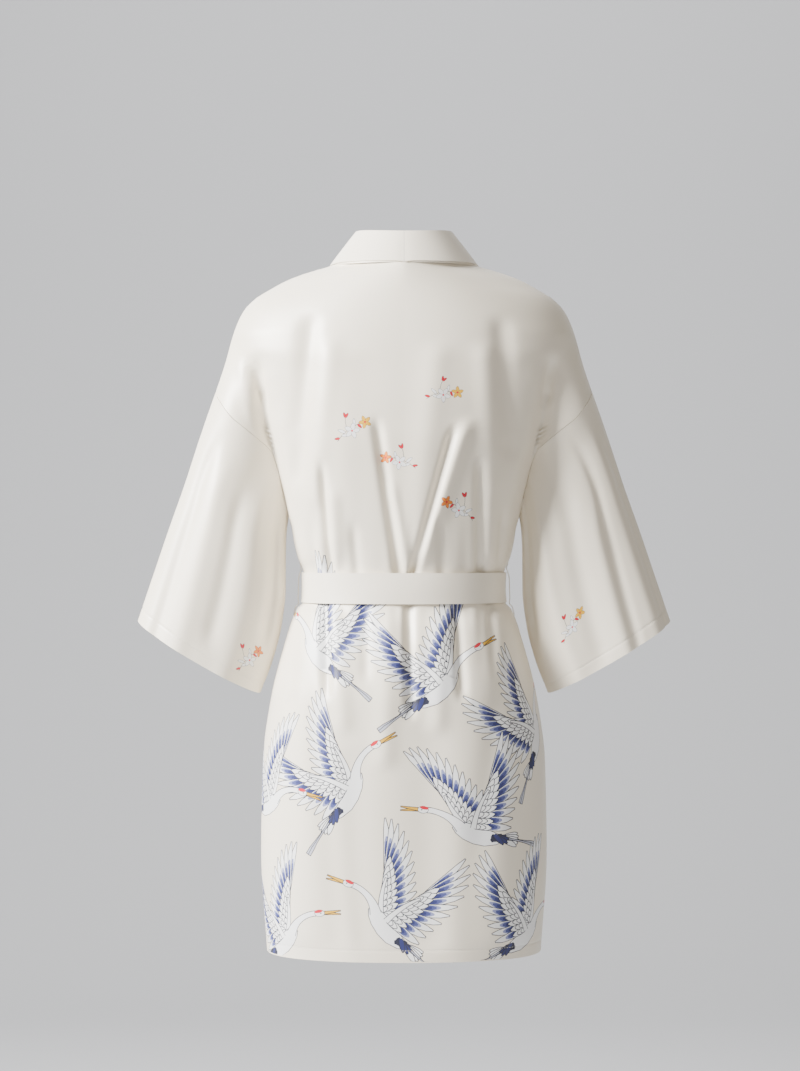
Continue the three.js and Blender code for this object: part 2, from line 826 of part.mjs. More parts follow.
function loopSheet(side) {
  const rows = [];
  const { keys } = LOOP_PATH;
  for (let k = 0; k <= LOOP_ROWS; k += 1) {
    const z = mix(keys[keys.length - 1], keys[0], k / LOOP_ROWS);
    const x = at(TORSO, "x", z) + at(LOOP_PATH, "out", z);
    rows.push([LOOP.halfWidth, -LOOP.halfWidth].map((y) => new THREE.Vector3(side * x, side * y, z)));
  }
  return sheet(rows);
}

// Rounded knot with a slanted groove where one end crosses the other.
function knotSheet() {
  const rows = [[new THREE.Vector3(KNOT.x, KNOT.y, KNOT.z + KNOT.height)]];
  const shaped = (value) => Math.sign(value) * Math.abs(value) ** KNOT.power;
  for (let i = 1; i < KNOT_RINGS; i += 1) {
    const rise = (Math.PI * i) / KNOT_RINGS;
    const ring = [];
    for (let k = 0; k < KNOT_COLUMNS; k += 1) {
      const turn = (2 * Math.PI * k) / KNOT_COLUMNS;
      const x = shaped(Math.cos(turn)) * Math.sin(rise) ** KNOT.power;
      const y = -shaped(Math.sin(turn)) * Math.sin(rise) ** KNOT.power;
      const z = shaped(Math.cos(rise));
      const off = (z - KNOT_GROOVE.tilt * x) / KNOT_GROOVE.width;
      const keep = 1 - (y < 0 ? KNOT_GROOVE.depth * Math.exp(-off * off) * -y : 0);
      ring.push(new THREE.Vector3(
        KNOT.x + KNOT.width * x,
        KNOT.y + KNOT.depth * y * keep,
        KNOT.z + KNOT.height * z,
      ));
    }
    rows.push(ring);
  }
  rows.push([new THREE.Vector3(KNOT.x, KNOT.y, KNOT.z - KNOT.height)]);
  return sheet(rows, { closed: true });
}

function tailSheet({ side, x, bottomZ }) {
  const rows = [];
  for (let i = 0; i <= TAIL_ROWS; i += 1) {
    const s = (i / TAIL_ROWS) ** TAIL_ROW_SPREAD;
    const z = mix(TAIL_TOP_Z, bottomZ, s);
    const centre = x + side * at(TAIL_PATH, "x", s);
    const half = at(TAIL_PATH, "half", s);
    const row = [];
    for (let j = 0; j <= TAIL_COLUMNS; j += 1) {
      const across = 1 - (2 * j) / TAIL_COLUMNS;
      const bow = at(TAIL_PATH, "bow", s) * (1 - across * across);
      row.push(frontPoint(centre + half * across, z, at(TAIL_PATH, "out", s) + bow));
    }
    rows.push(row);
  }
  return sheet(rows);
}

function addMesh(group, name, shape, color) {
  const mesh = new THREE.Mesh(shape, new THREE.MeshStandardMaterial({ color, roughness: SATIN_ROUGHNESS }));
  mesh.name = name;
  group.add(mesh);
}

const group = new THREE.Group();
group.name = "kimono_robe";

const backRowsLeft = backHalf(BACK_FOLDS);
const leftRows = frontRows(FRONT_LAP, LEFT_FRONT_FOLDS);
const rightRows = frontRows(0, RIGHT_FRONT_FOLDS);
const armhole = armholeRing(leftRows, backRowsLeft);

const back = backSheet();
const frontLeft = frontSheet(leftRows, 1);
const frontRight = frontSheet(rightRows, -1);
const sleeveLeft = sleeveSheet(armhole, LEFT_SLEEVE_FOLDS, 1);
const sleeveRight = sleeveSheet(armhole, RIGHT_SLEEVE_FOLDS, -1);
shareNormals([back, frontLeft, frontRight, sleeveLeft, sleeveRight]);

const neckNormals = back.normals.slice(BACK_COLUMNS, 2 * BACK_COLUMNS + 1);
const leftBand = collarRows(leftRows, neckNormals, edgeNormals(frontLeft, 1), FRONT_LAP);
const rightBand = collarRows(rightRows, neckNormals, edgeNormals(frontRight, -1), 0);
const collarLeft = collarSheet(leftBand, 1);
const collarRight = collarSheet(rightBand, -1);
shareNormals([collarLeft, collarRight]);

[back, frontLeft, frontRight, sleeveLeft, sleeveRight, collarLeft, collarRight].forEach(pullIn);
sleeveLeft.points.forEach((point) => point.setX(point.x + SLEEVE_CLEAR));
sleeveRight.points.forEach((point) => point.setX(point.x - SLEEVE_CLEAR));

const hemmed = clothWall(HEM_FOLD_Z);
addMesh(group, "back_panel", wallGeometry(back, 0, hemmed), "#efece4");
addMesh(group, "front_left", wallGeometry(frontLeft, 0, hemmed), "#ece8df");
addMesh(group, "front_right", wallGeometry(frontRight, 0, hemmed), "#e6e2d8");
addMesh(group, "sleeve_left", wallGeometry(sleeveLeft, 0, sleeveWall(sleeveLeft, armhole.length)), "#f1eee7");
addMesh(group, "sleeve_right", wallGeometry(sleeveRight, 0, sleeveWall(sleeveRight, armhole.length)), "#e9e5dc");

const bandWall = () => BAND_HALF_WALL;
addMesh(group, "collar_left", wallGeometry(collarLeft, BAND_HALF_WALL, bandWall), "#f3f0ea");
addMesh(group, "collar_right", wallGeometry(collarRight, BAND_HALF_WALL, bandWall), "#f0ece4");

addMesh(group, "belt_band", wallGeometry(beltSheet(), BELT_WALL, () => 0), "#f2efe8");
const knot = knotSheet();
addMesh(group, "belt_knot", geometry(knot.points, knot.faces.flat()), "#f2efe8");
addMesh(group, "belt_tail_left", wallGeometry(tailSheet(LEFT_TAIL), 0, () => TAIL_WALL), "#efebe3");
addMesh(group, "belt_tail_right", wallGeometry(tailSheet(RIGHT_TAIL), 0, () => TAIL_WALL), "#efebe3");
addMesh(group, "belt_loop_left", wallGeometry(loopSheet(1), 0, () => LOOP.wall), "#e8e4da");
addMesh(group, "belt_loop_right", wallGeometry(loopSheet(-1), 0, () => LOOP.wall), "#e8e4da");

export default group;
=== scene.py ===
import logging
import math
from dataclasses import dataclass, field, replace
from enum import Enum
from typing import Iterable, Sequence

import bpy
import numpy as np
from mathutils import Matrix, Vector
from mathutils.geometry import delaunay_2d_cdt


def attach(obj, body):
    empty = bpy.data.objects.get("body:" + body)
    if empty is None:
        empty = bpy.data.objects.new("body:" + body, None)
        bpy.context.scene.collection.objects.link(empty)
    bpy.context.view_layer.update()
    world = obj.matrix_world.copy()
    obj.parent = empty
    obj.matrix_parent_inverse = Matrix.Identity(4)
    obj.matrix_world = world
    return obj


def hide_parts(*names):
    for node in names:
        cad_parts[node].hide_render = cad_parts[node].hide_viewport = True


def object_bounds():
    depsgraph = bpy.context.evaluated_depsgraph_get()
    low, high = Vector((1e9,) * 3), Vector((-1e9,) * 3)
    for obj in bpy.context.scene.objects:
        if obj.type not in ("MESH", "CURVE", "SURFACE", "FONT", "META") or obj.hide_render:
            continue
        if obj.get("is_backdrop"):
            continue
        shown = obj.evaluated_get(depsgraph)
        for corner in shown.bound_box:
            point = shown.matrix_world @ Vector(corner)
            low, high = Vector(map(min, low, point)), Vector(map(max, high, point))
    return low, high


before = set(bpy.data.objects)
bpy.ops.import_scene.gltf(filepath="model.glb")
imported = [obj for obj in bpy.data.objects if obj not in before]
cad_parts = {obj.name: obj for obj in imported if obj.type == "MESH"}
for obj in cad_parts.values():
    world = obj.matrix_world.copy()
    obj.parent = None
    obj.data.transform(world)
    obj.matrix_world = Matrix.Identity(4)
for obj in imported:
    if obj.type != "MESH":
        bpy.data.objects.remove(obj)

logging.basicConfig(level=logging.INFO, format="%(relativeCreated)d ms %(message)s")
log = logging.getLogger("kimono_robe")

MM = 0.001
SLOPE_STEP = 0.5
SLOPE_LIMIT = 6
SLEEVE_FOLD_START = 0.2
SLEEVE_FOLD_STOP = 0.15
SLEEVE_FOLD_LEFT_AT_STOP = 0.4
BODY = "root"
Array = np.ndarray


class Side(Enum):
    """The wearer's two sides; the value is the sign of X."""

    LEFT = 1
    RIGHT = -1


class Face(Enum):
    """Whether a section is that of the back or of the front; the value is the sign of Y."""

    BACK = 1
    FRONT = -1


@dataclass(frozen=True)
class Table:
    """Rows of sizes with named columns, read by a monotone cubic over the first column."""

    names: tuple[str, ...]
    rows: tuple[tuple[float, ...], ...]

    def at(self, name: str, key: float | Array) -> Array:
        """Value of a column.

        Args:
            name: the column's name.
            key: one or more values of the first column.

        Returns:
            The column's values there, held at the ends.
        """
        data = np.array(sorted(self.rows), dtype=float)
        keys, values = data[:, 0], data[:, self.names.index(name)]
        spans = np.diff(keys)
        steps = np.diff(values) / spans
        slopes = np.concatenate([steps[:1], np.zeros(len(steps) - 1), steps[-1:]])
        product = steps[:-1] * steps[1:]
        total = steps[:-1] + steps[1:]
        slopes[1:-1] = np.where(product > 0, 2 * product / np.where(product > 0, total, 1), 0)
        wanted = np.clip(np.asarray(key, dtype=float), keys[0], keys[-1])
        i = np.clip(np.searchsorted(keys, wanted, side="right") - 1, 0, len(spans) - 1)
        s = (wanted - keys[i]) / spans[i]
        return (
            (1 + 2 * s) * (1 - s) ** 2 * values[i]
            + s * (1 - s) ** 2 * spans[i] * slopes[i]
            + s * s * (3 - 2 * s) * values[i + 1]
            + s * s * (s - 1) * spans[i] * slopes[i + 1]
        )


def smooth(value: float | Array) -> Array:
    """Soft step from 0 at 0 to 1 at 1."""
    s = np.clip(value, 0, 1)
    return s * s * (3 - 2 * s)


def mix(a: float | Array, b: float | Array, s: float | Array) -> float | Array:
    """a where s is 0, b where s is 1."""
    return a + (b - a) * s


@dataclass(frozen=True)
class Fold:
    """One soft fold of a panel: its line, its width and its depth in millimetres, a trough below zero."""

    top_x: float
    top_z: float
    bottom_x: float
    bottom_z: float
    width: float
    depth: float

    def push(self, x: Array, z: float | Array, run: float) -> Array:
        """Outward displacement at points of a panel.

        Args:
            x: positions across the panel.
            z: heights.
            run: length over which the fold starts and stops.

        Returns:
            The displacement in millimetres.
        """
        s = (z - self.top_z) / (self.bottom_z - self.top_z)
        centre = mix(self.top_x, self.bottom_x, s)
        ends = smooth((self.top_z - z) / run) * smooth((z - self.bottom_z) / run)
        return self.depth * np.exp(-(((x - centre) / self.width) ** 2)) * ends


@dataclass(frozen=True)
class SleeveFold:
    """One soft fold of a sleeve, placed by its share of the half turn and of the sleeve's length."""

    face: Face
    top_turn: float
    bottom_turn: float
    top_w: float
    bottom_w: float
    width: float
    depth: float

    def push(self, face: Face, share: float | Array, w: float) -> Array:
        """Outward displacement at a share of the half turn and a share w of the length."""
        if face is not self.face:
            return np.zeros_like(np.asarray(share, dtype=float))
        s = min(1.0, max(0.0, (w - self.top_w) / (self.bottom_w - self.top_w)))
        centre = mix(self.top_turn, self.bottom_turn, s)
        start = smooth((w - self.top_w) / SLEEVE_FOLD_START)
        ends = start * smooth((self.bottom_w - w) / SLEEVE_FOLD_STOP + SLEEVE_FOLD_LEFT_AT_STOP)
        return self.depth * np.exp(-(((share - centre) / self.width) ** 2)) * ends


@dataclass(frozen=True)
class RobeForm:
    """The robe's sections in millimetres, the same as those of its solids."""

    shoulder: Table = Table(("z", "x"), (
        (0, 89), (-2, 97), (-6, 112), (-11, 127), (-18, 144), (-27, 160), (-38, 178), (-54, 193),
        (-82, 205), (-118, 215), (-151, 226), (-208, 245), (-274, 269), (-300, 278),
    ))
    arm: Table = Table(("z", "torso", "inner", "depth"), (
        (-82, 205, 125, 36), (-105, 203, 128, 42), (-130, 188, 129, 47), (-160, 175, 145, 47),
        (-200, 162.5, 150, 46), (-222, 156, 147, 46), (-250, 149.5, 143.5, 46),
        (-275, 143.2, 141.2, 46), (-300, 138, 138, 46),
    ))
    armhole: Table = Table(("z", "x"), (
        (-151, 226), (-165, 217), (-182, 204), (-196, 187), (-210, 170), (-222, 157.5), (-235, 152.4),
        (-250, 148.3), (-262, 145.6), (-275, 142.6), (-288, 139.9), (-300, 138),
    ))
    torso: Table = Table(("z", "x"), (
        (-300, 138), (-312, 134.5), (-328, 132), (-349, 127), (-366, 120), (-384, 119), (-402, 120.5),
        (-409, 128), (-448, 142), (-520, 160), (-592, 169), (-700, 171), (-817, 164),
    ))
    back: Table = Table(("z", "y", "n"), (
        (0, 84, 1.5), (-11, 88, 1.55), (-38, 94, 1.75), (-82, 102, 2.05), (-120, 106, 2.2),
        (-170, 109, 2.3), (-200, 109, 2.35), (-250, 104, 2.4), (-300, 97, 2.4), (-340, 90, 2.35),
        (-366, 86, 2.3), (-402, 87, 2.3), (-430, 98, 2.35), (-470, 109, 2.4), (-520, 115, 2.4),
        (-592, 115, 2.4), (-700, 110, 2.4), (-817, 106, 2.4),
    ))
    front: Table = Table(("z", "y", "n"), (
        (0, 14, 2), (-5, 20, 2), (-11, 28, 2), (-30, 47, 2), (-60, 70, 2.05), (-100, 94, 2.1),
        (-150, 110, 2.2), (-200, 116, 2.3), (-250, 112, 2.3), (-300, 102, 2.3), (-340, 92, 2.3),
        (-366, 86, 2.3), (-402, 87, 2.3), (-430, 95, 2.3), (-470, 102, 2.3), (-520, 107, 2.3),
        (-592, 108, 2.3), (-700, 105, 2.3), (-817, 102, 2.3),
    ))
    front_edge: Table = Table(("z", "x"), (
        (0, 89), (-5, 88.4), (-30, 86.5), (-60, 84), (-100, 77), (-150, 66), (-200, 51), (-250, 33),
        (-300, 14), (-350, -6), (-384, -14), (-402, -17), (-450, -22), (-600, -30), (-817, -36),
    ))
    neck_x: float = 89
    neck_y: float = 85
    neck_drop: float = 3
    lobe_top: float = -82
    shoulder_tip: float = -151
    underarm: float = -300
    belt_top: float = -366
    belt_bottom: float = -402
    hem: float = -817
    crease_soft: float = 5
    crease_fade: float = 14
    lap_from: float = 0.95
    lap_span: float = 0.35
    lap_top: float = -60
    lap_run: float = 100
    fold_run: float = 26
    fold_edge: float = 22
    armpit: tuple[float, float, float, float] = (176, -104, 146, -288)
    armpit_width: float = 17
    armpit_from: float = -152
    armpit_run: float = 26

    def table(self, face: Face) -> Table:
        """Table of the half sections of one face."""
        return self.back if face is Face.BACK else self.front

    def torso_half(self, z: float) -> float:
        """Half width of the torso part of the section at a height."""
        if z > self.lobe_top:
            return float(self.shoulder.at("x", z))
        return float(self.arm.at("torso", z) if z > self.underarm else self.torso.at("x", z))

    def panel_end(self, z: float) -> float:
        """Half width at which a body panel ends at a height."""
        if z >= self.shoulder_tip:
            return float(self.shoulder.at("x", z))
        return float(self.armhole.at("x", z) if z > self.underarm else self.torso.at("x", z))

    def closes(self, z: float) -> bool:
        """Whether back and front meet at the panel's end, as on the shoulder and the side seam."""
        return z >= self.shoulder_tip or z <= self.underarm

    def depth(self, face: Face, x: Array, z: float) -> Array:
        """Depth of a section: torso and arm joined with a soft crease.

        Args:
            face: back or front.
            x: positions across.
            z: one height.

        Returns:
            Distances from the middle plane, never below zero.
        """
        table = self.table(face)
        reach = np.abs(np.asarray(x, dtype=float))
        half = self.torso_half(z)
        n = float(table.at("n", z))
        inside = np.clip(1 - np.minimum(reach / half, 1) ** n, 0, None)
        torso = float(table.at("y", z)) * inside ** (1 / n)
        if z >= self.lobe_top or z <= self.underarm:
            return torso
        outer, inner = float(self.shoulder.at("x", z)), float(self.arm.at("inner", z))
        along = (2 * reach - outer - inner) / (outer - inner)
        arm = float(self.arm.at("depth", z)) * np.sqrt(np.clip(1 - along**2, 0, None))
        soft = self.crease_soft * np.minimum(1, arm / self.crease_fade)
        return (torso + arm + np.hypot(torso - arm, soft)) / 2

    def normal(self, face: Face, x: Array, z: float) -> tuple[Array, Array]:
        """Level outward normal of a section whose depth counts as positive."""
        after, before = self.depth(face, x + SLOPE_STEP, z), self.depth(face, x - SLOPE_STEP, z)
        slope = np.clip((after - before) / (2 * SLOPE_STEP), -SLOPE_LIMIT, SLOPE_LIMIT)
        length = np.hypot(slope, 1)
        return -slope / length, 1 / length

    def calm(self, x: Array, z: float) -> Array:
        """Share of a fold's push that is kept: little where the wall turns sharply at the armpit."""
        top_x, top_z, bottom_x, bottom_z = self.armpit
        line = mix(top_x, bottom_x, (z - top_z) / (bottom_z - top_z))
        near = np.exp(-(((np.abs(x) - line) / self.armpit_width) ** 2))
        return 1 - near * smooth((self.armpit_from - z) / self.armpit_run)

    def lap(self, x: Array, z: float, lap: float) -> Array:
        """Outward push of the overlapping part of the outer front."""
        across = smooth((self.lap_from - x / self.torso_half(z)) / self.lap_span)
        return lap * across * smooth((self.lap_top - z) / self.lap_run)


FORM = RobeForm()


class MeshMaker:
    """Turns rows of points into walls of cloth and other closed meshes."""

    @staticmethod
    def normals(grid: Array, closed: bool) -> Array:
        """Outward unit normals of a grid of points.

        Args:
            grid: rows by columns by 3, rows going down and columns clockwise seen from above.
            closed: whether the last column is followed by the first.

        Returns:
            Unit normals, rows by columns by 3.
        """
        if closed:
            wide = np.concatenate([grid[:, -1:], grid, grid[:, :1]], axis=1)
            across = (wide[:, 2:] - wide[:, :-2]) / 2
        else:
            across = np.gradient(grid, axis=1)
        down = np.gradient(grid, axis=0)
        normal = np.cross(across, down)
        length = np.linalg.norm(normal, axis=2, keepdims=True)
        return normal / np.maximum(length, 1e-9)

    @staticmethod
    def wall(grid: Array, normals: Array, outward: Array, inward: Array, closed: bool) -> "Wall":
        """A closed wall on a grid.

        Args:
            grid: rows by columns by 3.
            normals: unit normals of the grid.
            outward: offset of the outer skin.
            inward: offset of the inner skin.
            closed: whether the columns go all round.

        Returns:
            The wall, its outer skin first.
        """
        rows, columns = grid.shape[:2]
        outer = grid + normals * np.broadcast_to(outward, (rows, columns))[..., None]
        inner = grid - normals * np.broadcast_to(inward, (rows, columns))[..., None]
        points = np.concatenate([outer.reshape(-1, 3), inner.reshape(-1, 3)])
        count = rows * columns
        index = np.arange(count).reshape(rows, columns)
        following = np.roll(index, -1, axis=1) if closed else index[:, 1:]
        own = index if closed else index[:, :-1]
        skin = np.stack([own[:-1], following[:-1], following[1:], own[1:]], axis=-1)
        top = np.stack([following[0], own[0], own[0] + count, following[0] + count], axis=-1)
        foot = np.stack([own[-1], following[-1], following[-1] + count, own[-1] + count], axis=-1)
        rims = [top, foot]
        if not closed:
            near, far = index[:, 0], index[:, -1]
            rims.append(np.stack([near[:-1], near[1:], near[1:] + count, near[:-1] + count], axis=-1))
            rims.append(np.stack([far[1:], far[:-1], far[:-1] + count, far[1:] + count], axis=-1))
        flat = normals.reshape(-1, 3)
        return Wall(points, np.concatenate([flat, -flat]), skin, skin.reshape(-1, 4)[:, ::-1] + count,
                    np.concatenate(rims))


@dataclass
class Wall:
    """Points, normals and faces of a wall of cloth, in millimetres."""

    points: Array
    normals: Array
    outer: Array
    inner: Array
    rims: Array

    def build(self, name: str, grid: "ClothGrid", inked: "Print | None" = None) -> bpy.types.Object:
        """Makes the object, with a print cut into its outer skin.

        Args:
            name: the object's name.
            grid: flat places of the skin's points.
            inked: the panel's print, or None.

        Returns:
            The linked object, whose material slots above the first are the print's inks.
        """
        count = len(self.points) // 2
        columns = grid.points.shape[1]
        flat = np.stack([grid.across.ravel(), np.repeat(grid.heights, columns)], axis=1)
        points, normals, uv = self.points, self.normals, np.concatenate([flat, flat])
        skin, inks, cut = self.outer.reshape(-1, 4), [], []
        if inked is not None:
            mask, fresh, cut, painted = inked.cut(grid)
            keep = np.ones(self.outer.shape[:2], dtype=bool)
            keep[: mask.shape[0], : mask.shape[1]] = ~mask
            skin = self.outer[keep]
            surface = self.points[:count].reshape(*grid.points.shape)
            fresh_normals = grid.spread(self.normals[:count].reshape(*grid.points.shape), *fresh.T)
            points = np.concatenate([points, grid.spread(surface, *fresh.T)])
            normals = np.concatenate([normals, fresh_normals])
            uv = np.concatenate([uv, fresh])
            cut = [[2 * count - 1 - k if k < 0 else k for k in face] for face in cut]
            inks = painted
        faces = skin.tolist() + cut + self.inner.tolist()
        smooth_faces = len(faces)
        faces += self.rims.tolist()
        mesh = bpy.data.meshes.new(name)
        mesh.from_pydata((points * MM).tolist(), [], faces)
        slots = np.zeros(len(faces), dtype=np.int32)
        slots[len(skin) : len(skin) + len(cut)] = inks
        mesh.polygons.foreach_set("material_index", slots)
        shaded = np.arange(len(faces)) < smooth_faces
        mesh.polygons.foreach_set("use_smooth", shaded)
        loops = np.zeros(len(mesh.loops), dtype=np.int32)
        mesh.loops.foreach_get("vertex_index", loops)
        layer = mesh.uv_layers.new(name="cloth")
        layer.data.foreach_set("uv", (uv[loops] * MM).astype(np.float32).ravel())
        sizes = np.zeros(len(faces), dtype=np.int32)
        mesh.polygons.foreach_get("loop_total", sizes)
        lengths = np.linalg.norm(normals, axis=1, keepdims=True)
        custom = (normals / np.maximum(lengths, 1e-9))[loops] * np.repeat(shaded, sizes)[:, None]
        mesh.normals_split_custom_set(custom.tolist())
        mesh.update()
        obj = bpy.data.objects.new(name, mesh)
        bpy.context.scene.collection.objects.link(obj)
        return obj


@dataclass
class ClothGrid:
    """A panel's outer face as a grid, with the flat place of each point on its cloth."""

    points: Array
    across: Array
    heights: Array
    closed: bool = False
    normals: Array = field(init=False)

    def __post_init__(self) -> None:
        """Works out the normals."""
        self.normals = MeshMaker.normals(self.points, self.closed)

    def locate(self, s: Array, z: Array) -> tuple[Array, Array, Array, Array]:
        """Cells and shares within them of flat places.

        Args:
            s: distances across the cloth from its middle line.
            z: heights.

        Returns:
            Row, column, share of the row and share of the column of each place.
        """
        rows = np.interp(-np.asarray(z), -self.heights, np.arange(len(self.heights)))
        i = np.clip(rows.astype(int), 0, len(self.heights) - 2)
        f = rows - i
        j, g = np.zeros(len(i), dtype=int), np.zeros(len(i))
        for row in np.unique(i):
            chosen = np.flatnonzero(i == row)
            share = f[chosen][:, None]
            line = mix(self.across[row][None], self.across[row + 1][None], share)
            left = np.clip((line <= s[chosen][:, None]).sum(axis=1) - 1, 0, line.shape[1] - 2)
            pick = np.arange(len(chosen))
            near, far = line[pick, left], line[pick, left + 1]
            j[chosen] = left
            g[chosen] = np.clip((s[chosen] - near) / np.maximum(far - near, 1e-9), 0, 1)
        return i, j, f, g

    def spread(self, values: Array, s: Array, z: Array) -> Array:
        """Values of the grid's points, read between them at flat places."""
        i, j, f, g = self.locate(s, z)
        f, g = f[:, None], g[:, None]
        return mix(mix(values[i, j], values[i, j + 1], g), mix(values[i + 1, j], values[i + 1, j + 1], g), f)

    def place(self, s: Array, z: Array, lift: float | Array) -> Array:
        """Points at a height above the cloth from flat places."""
        return self.spread(self.points, s, z) + self.spread(self.normals, s, z) * np.reshape(lift, (-1, 1))


class Ink(Enum):
    """Colours of the print, as linear RGB."""

    LINE = (0.03, 0.03, 0.045)
    WHITE = (0.84, 0.84, 0.84)
    SHADE = (0.46, 0.47, 0.54)
    PALE_BLUE = (0.24, 0.26, 0.45)
    BLUE = (0.065, 0.075, 0.22)
    NAVY = (0.03, 0.035, 0.13)
    DARK = (0.018, 0.02, 0.045)
    RED = (0.56, 0.012, 0.03)
    GOLD = (0.72, 0.4, 0.03)
    ORANGE = (0.75, 0.2, 0.02)


@dataclass(frozen=True)
class Shape:
    """One inked outline on the flat cloth."""

    ink: Ink
    points: Array

    def area(self) -> float:
        """Area in square millimetres."""
        x, y = self.points.T
        return abs(float(np.sum(x * np.roll(y, -1) - np.roll(x, -1) * y))) / 2

    def holds(self, places: Array) -> Array:
        """Numbers of the places that lie inside the outline."""
        low, high = self.points.min(axis=0), self.points.max(axis=0)
        near = np.flatnonzero(((places > low) & (places < high)).all(axis=1))
        x, y = places[near].T
        inside = np.zeros(len(near), dtype=bool)
        for (x0, y0), (x1, y1) in zip(self.points, np.roll(self.points, -1, axis=0)):
            if y0 == y1:
                continue
            crosses = (y0 > y) != (y1 > y)
            inside ^= crosses & (x < x0 + (y - y0) * (x1 - x0) / (y1 - y0))
        return near[inside]


def heading(degrees: float) -> Array:
    """Unit vector at an angle."""
    return np.array([math.cos(math.radians(degrees)), math.sin(math.radians(degrees))])


def bent_path(start: Array, angle: float, length: float, bend: float, count: int) -> Array:
    """A path that sets off at an angle and turns evenly by bend degrees."""
    angles = np.radians(angle + bend * (np.arange(count) + 0.5) / count)
    steps = np.stack([np.cos(angles), np.sin(angles)], axis=1) * length / count
    return np.concatenate([[start], start + np.cumsum(steps, axis=0)])


def ribbon(path: Array, widths: Array) -> Array:
    """Outline of a strip of changing width along a path."""
    along = np.gradient(path, axis=0)
    along /= np.maximum(np.linalg.norm(along, axis=1, keepdims=True), 1e-9)
    side = np.stack([-along[:, 1], along[:, 0]], axis=1) * (np.asarray(widths) / 2)[:, None]
    return np.concatenate([path + side, (path - side)[::-1]])


def oval(centre: Array, long: float, wide: float, angle: float, count: int = 14) -> Array:
    """Outline of an ellipse."""
    turn = 2 * np.pi * np.arange(count) / count
    axis, side = heading(angle), heading(angle + 90)
    return centre + np.outer(long * np.cos(turn), axis) + np.outer(wide * np.sin(turn), side)


@dataclass
class Drawing:
    """Shapes in painting order, in a flat frame with X to the viewer's right and Y up."""

    line: float = 0.78
    shapes: list[Shape] = field(default_factory=list)

    def add(self, ink: Ink, outline: Array) -> None:
        """Paints a shape over the former ones."""
        self.shapes.append(Shape(ink, outline))

    def outlined(self, ink: Ink, path: Array, widths: Array) -> None:
        """Paints a strip with a thin dark outline."""
        widths = np.asarray(widths, dtype=float)
        reach = path.copy()
        end = path[-1] - path[-2]
        reach[-1] = path[-1] + end / np.linalg.norm(end) * self.line
        self.add(Ink.LINE, ribbon(reach, widths + 2 * self.line))
        self.add(ink, ribbon(path, widths))

    def feather(self, root: Array, angle: float, length: float, width: float, bend: float,
                bands: Sequence[tuple[Ink, float, float]] = (), fill: Ink = Ink.WHITE) -> None:
        """Paints one feather.

        Args:
            root: where it starts.
            angle: direction at its root, in degrees.
            length: its length.
            width: its greatest width.
            bend: how far it turns along its length, in degrees.
            bands: inks with the shares of the length between which they lie.
            fill: ink of the rest.
        """
        count = 6
        path = bent_path(root, angle, length, bend, count)
        u = np.linspace(0, 1, count + 1)
        profile = np.minimum(1, 0.5 + 2 * u) * np.sqrt(np.clip(1 - u**3.2, 0, None))
        profile[-1] = 0.08
        self.outlined(fill, path, width * profile)
        for ink, start, end in bands:
            part = np.linspace(start, end, 3)
            centre = np.stack([np.interp(part, u, path[:, k]) for k in (0, 1)], axis=1)
            shape = np.interp(part, u, profile) * width * 0.84
            shape[-1] *= 0.35
            self.add(ink, ribbon(centre, shape))

    def placed(self, s: float, z: float, turn: float, size: float, flip: bool) -> list[Shape]:
        """The shapes on a panel's flat frame, whose first axis runs to the viewer's left."""
        across, up = heading(turn), heading(turn + 90)
        result = []
        for shape in self.shapes:
            local = shape.points * size * np.array([-1 if flip else 1, 1])
            spot = local[:, :1] * across + local[:, 1:] * up
            result.append(Shape(shape.ink, np.stack([s - spot[:, 0], z + spot[:, 1]], axis=1)))
        return result


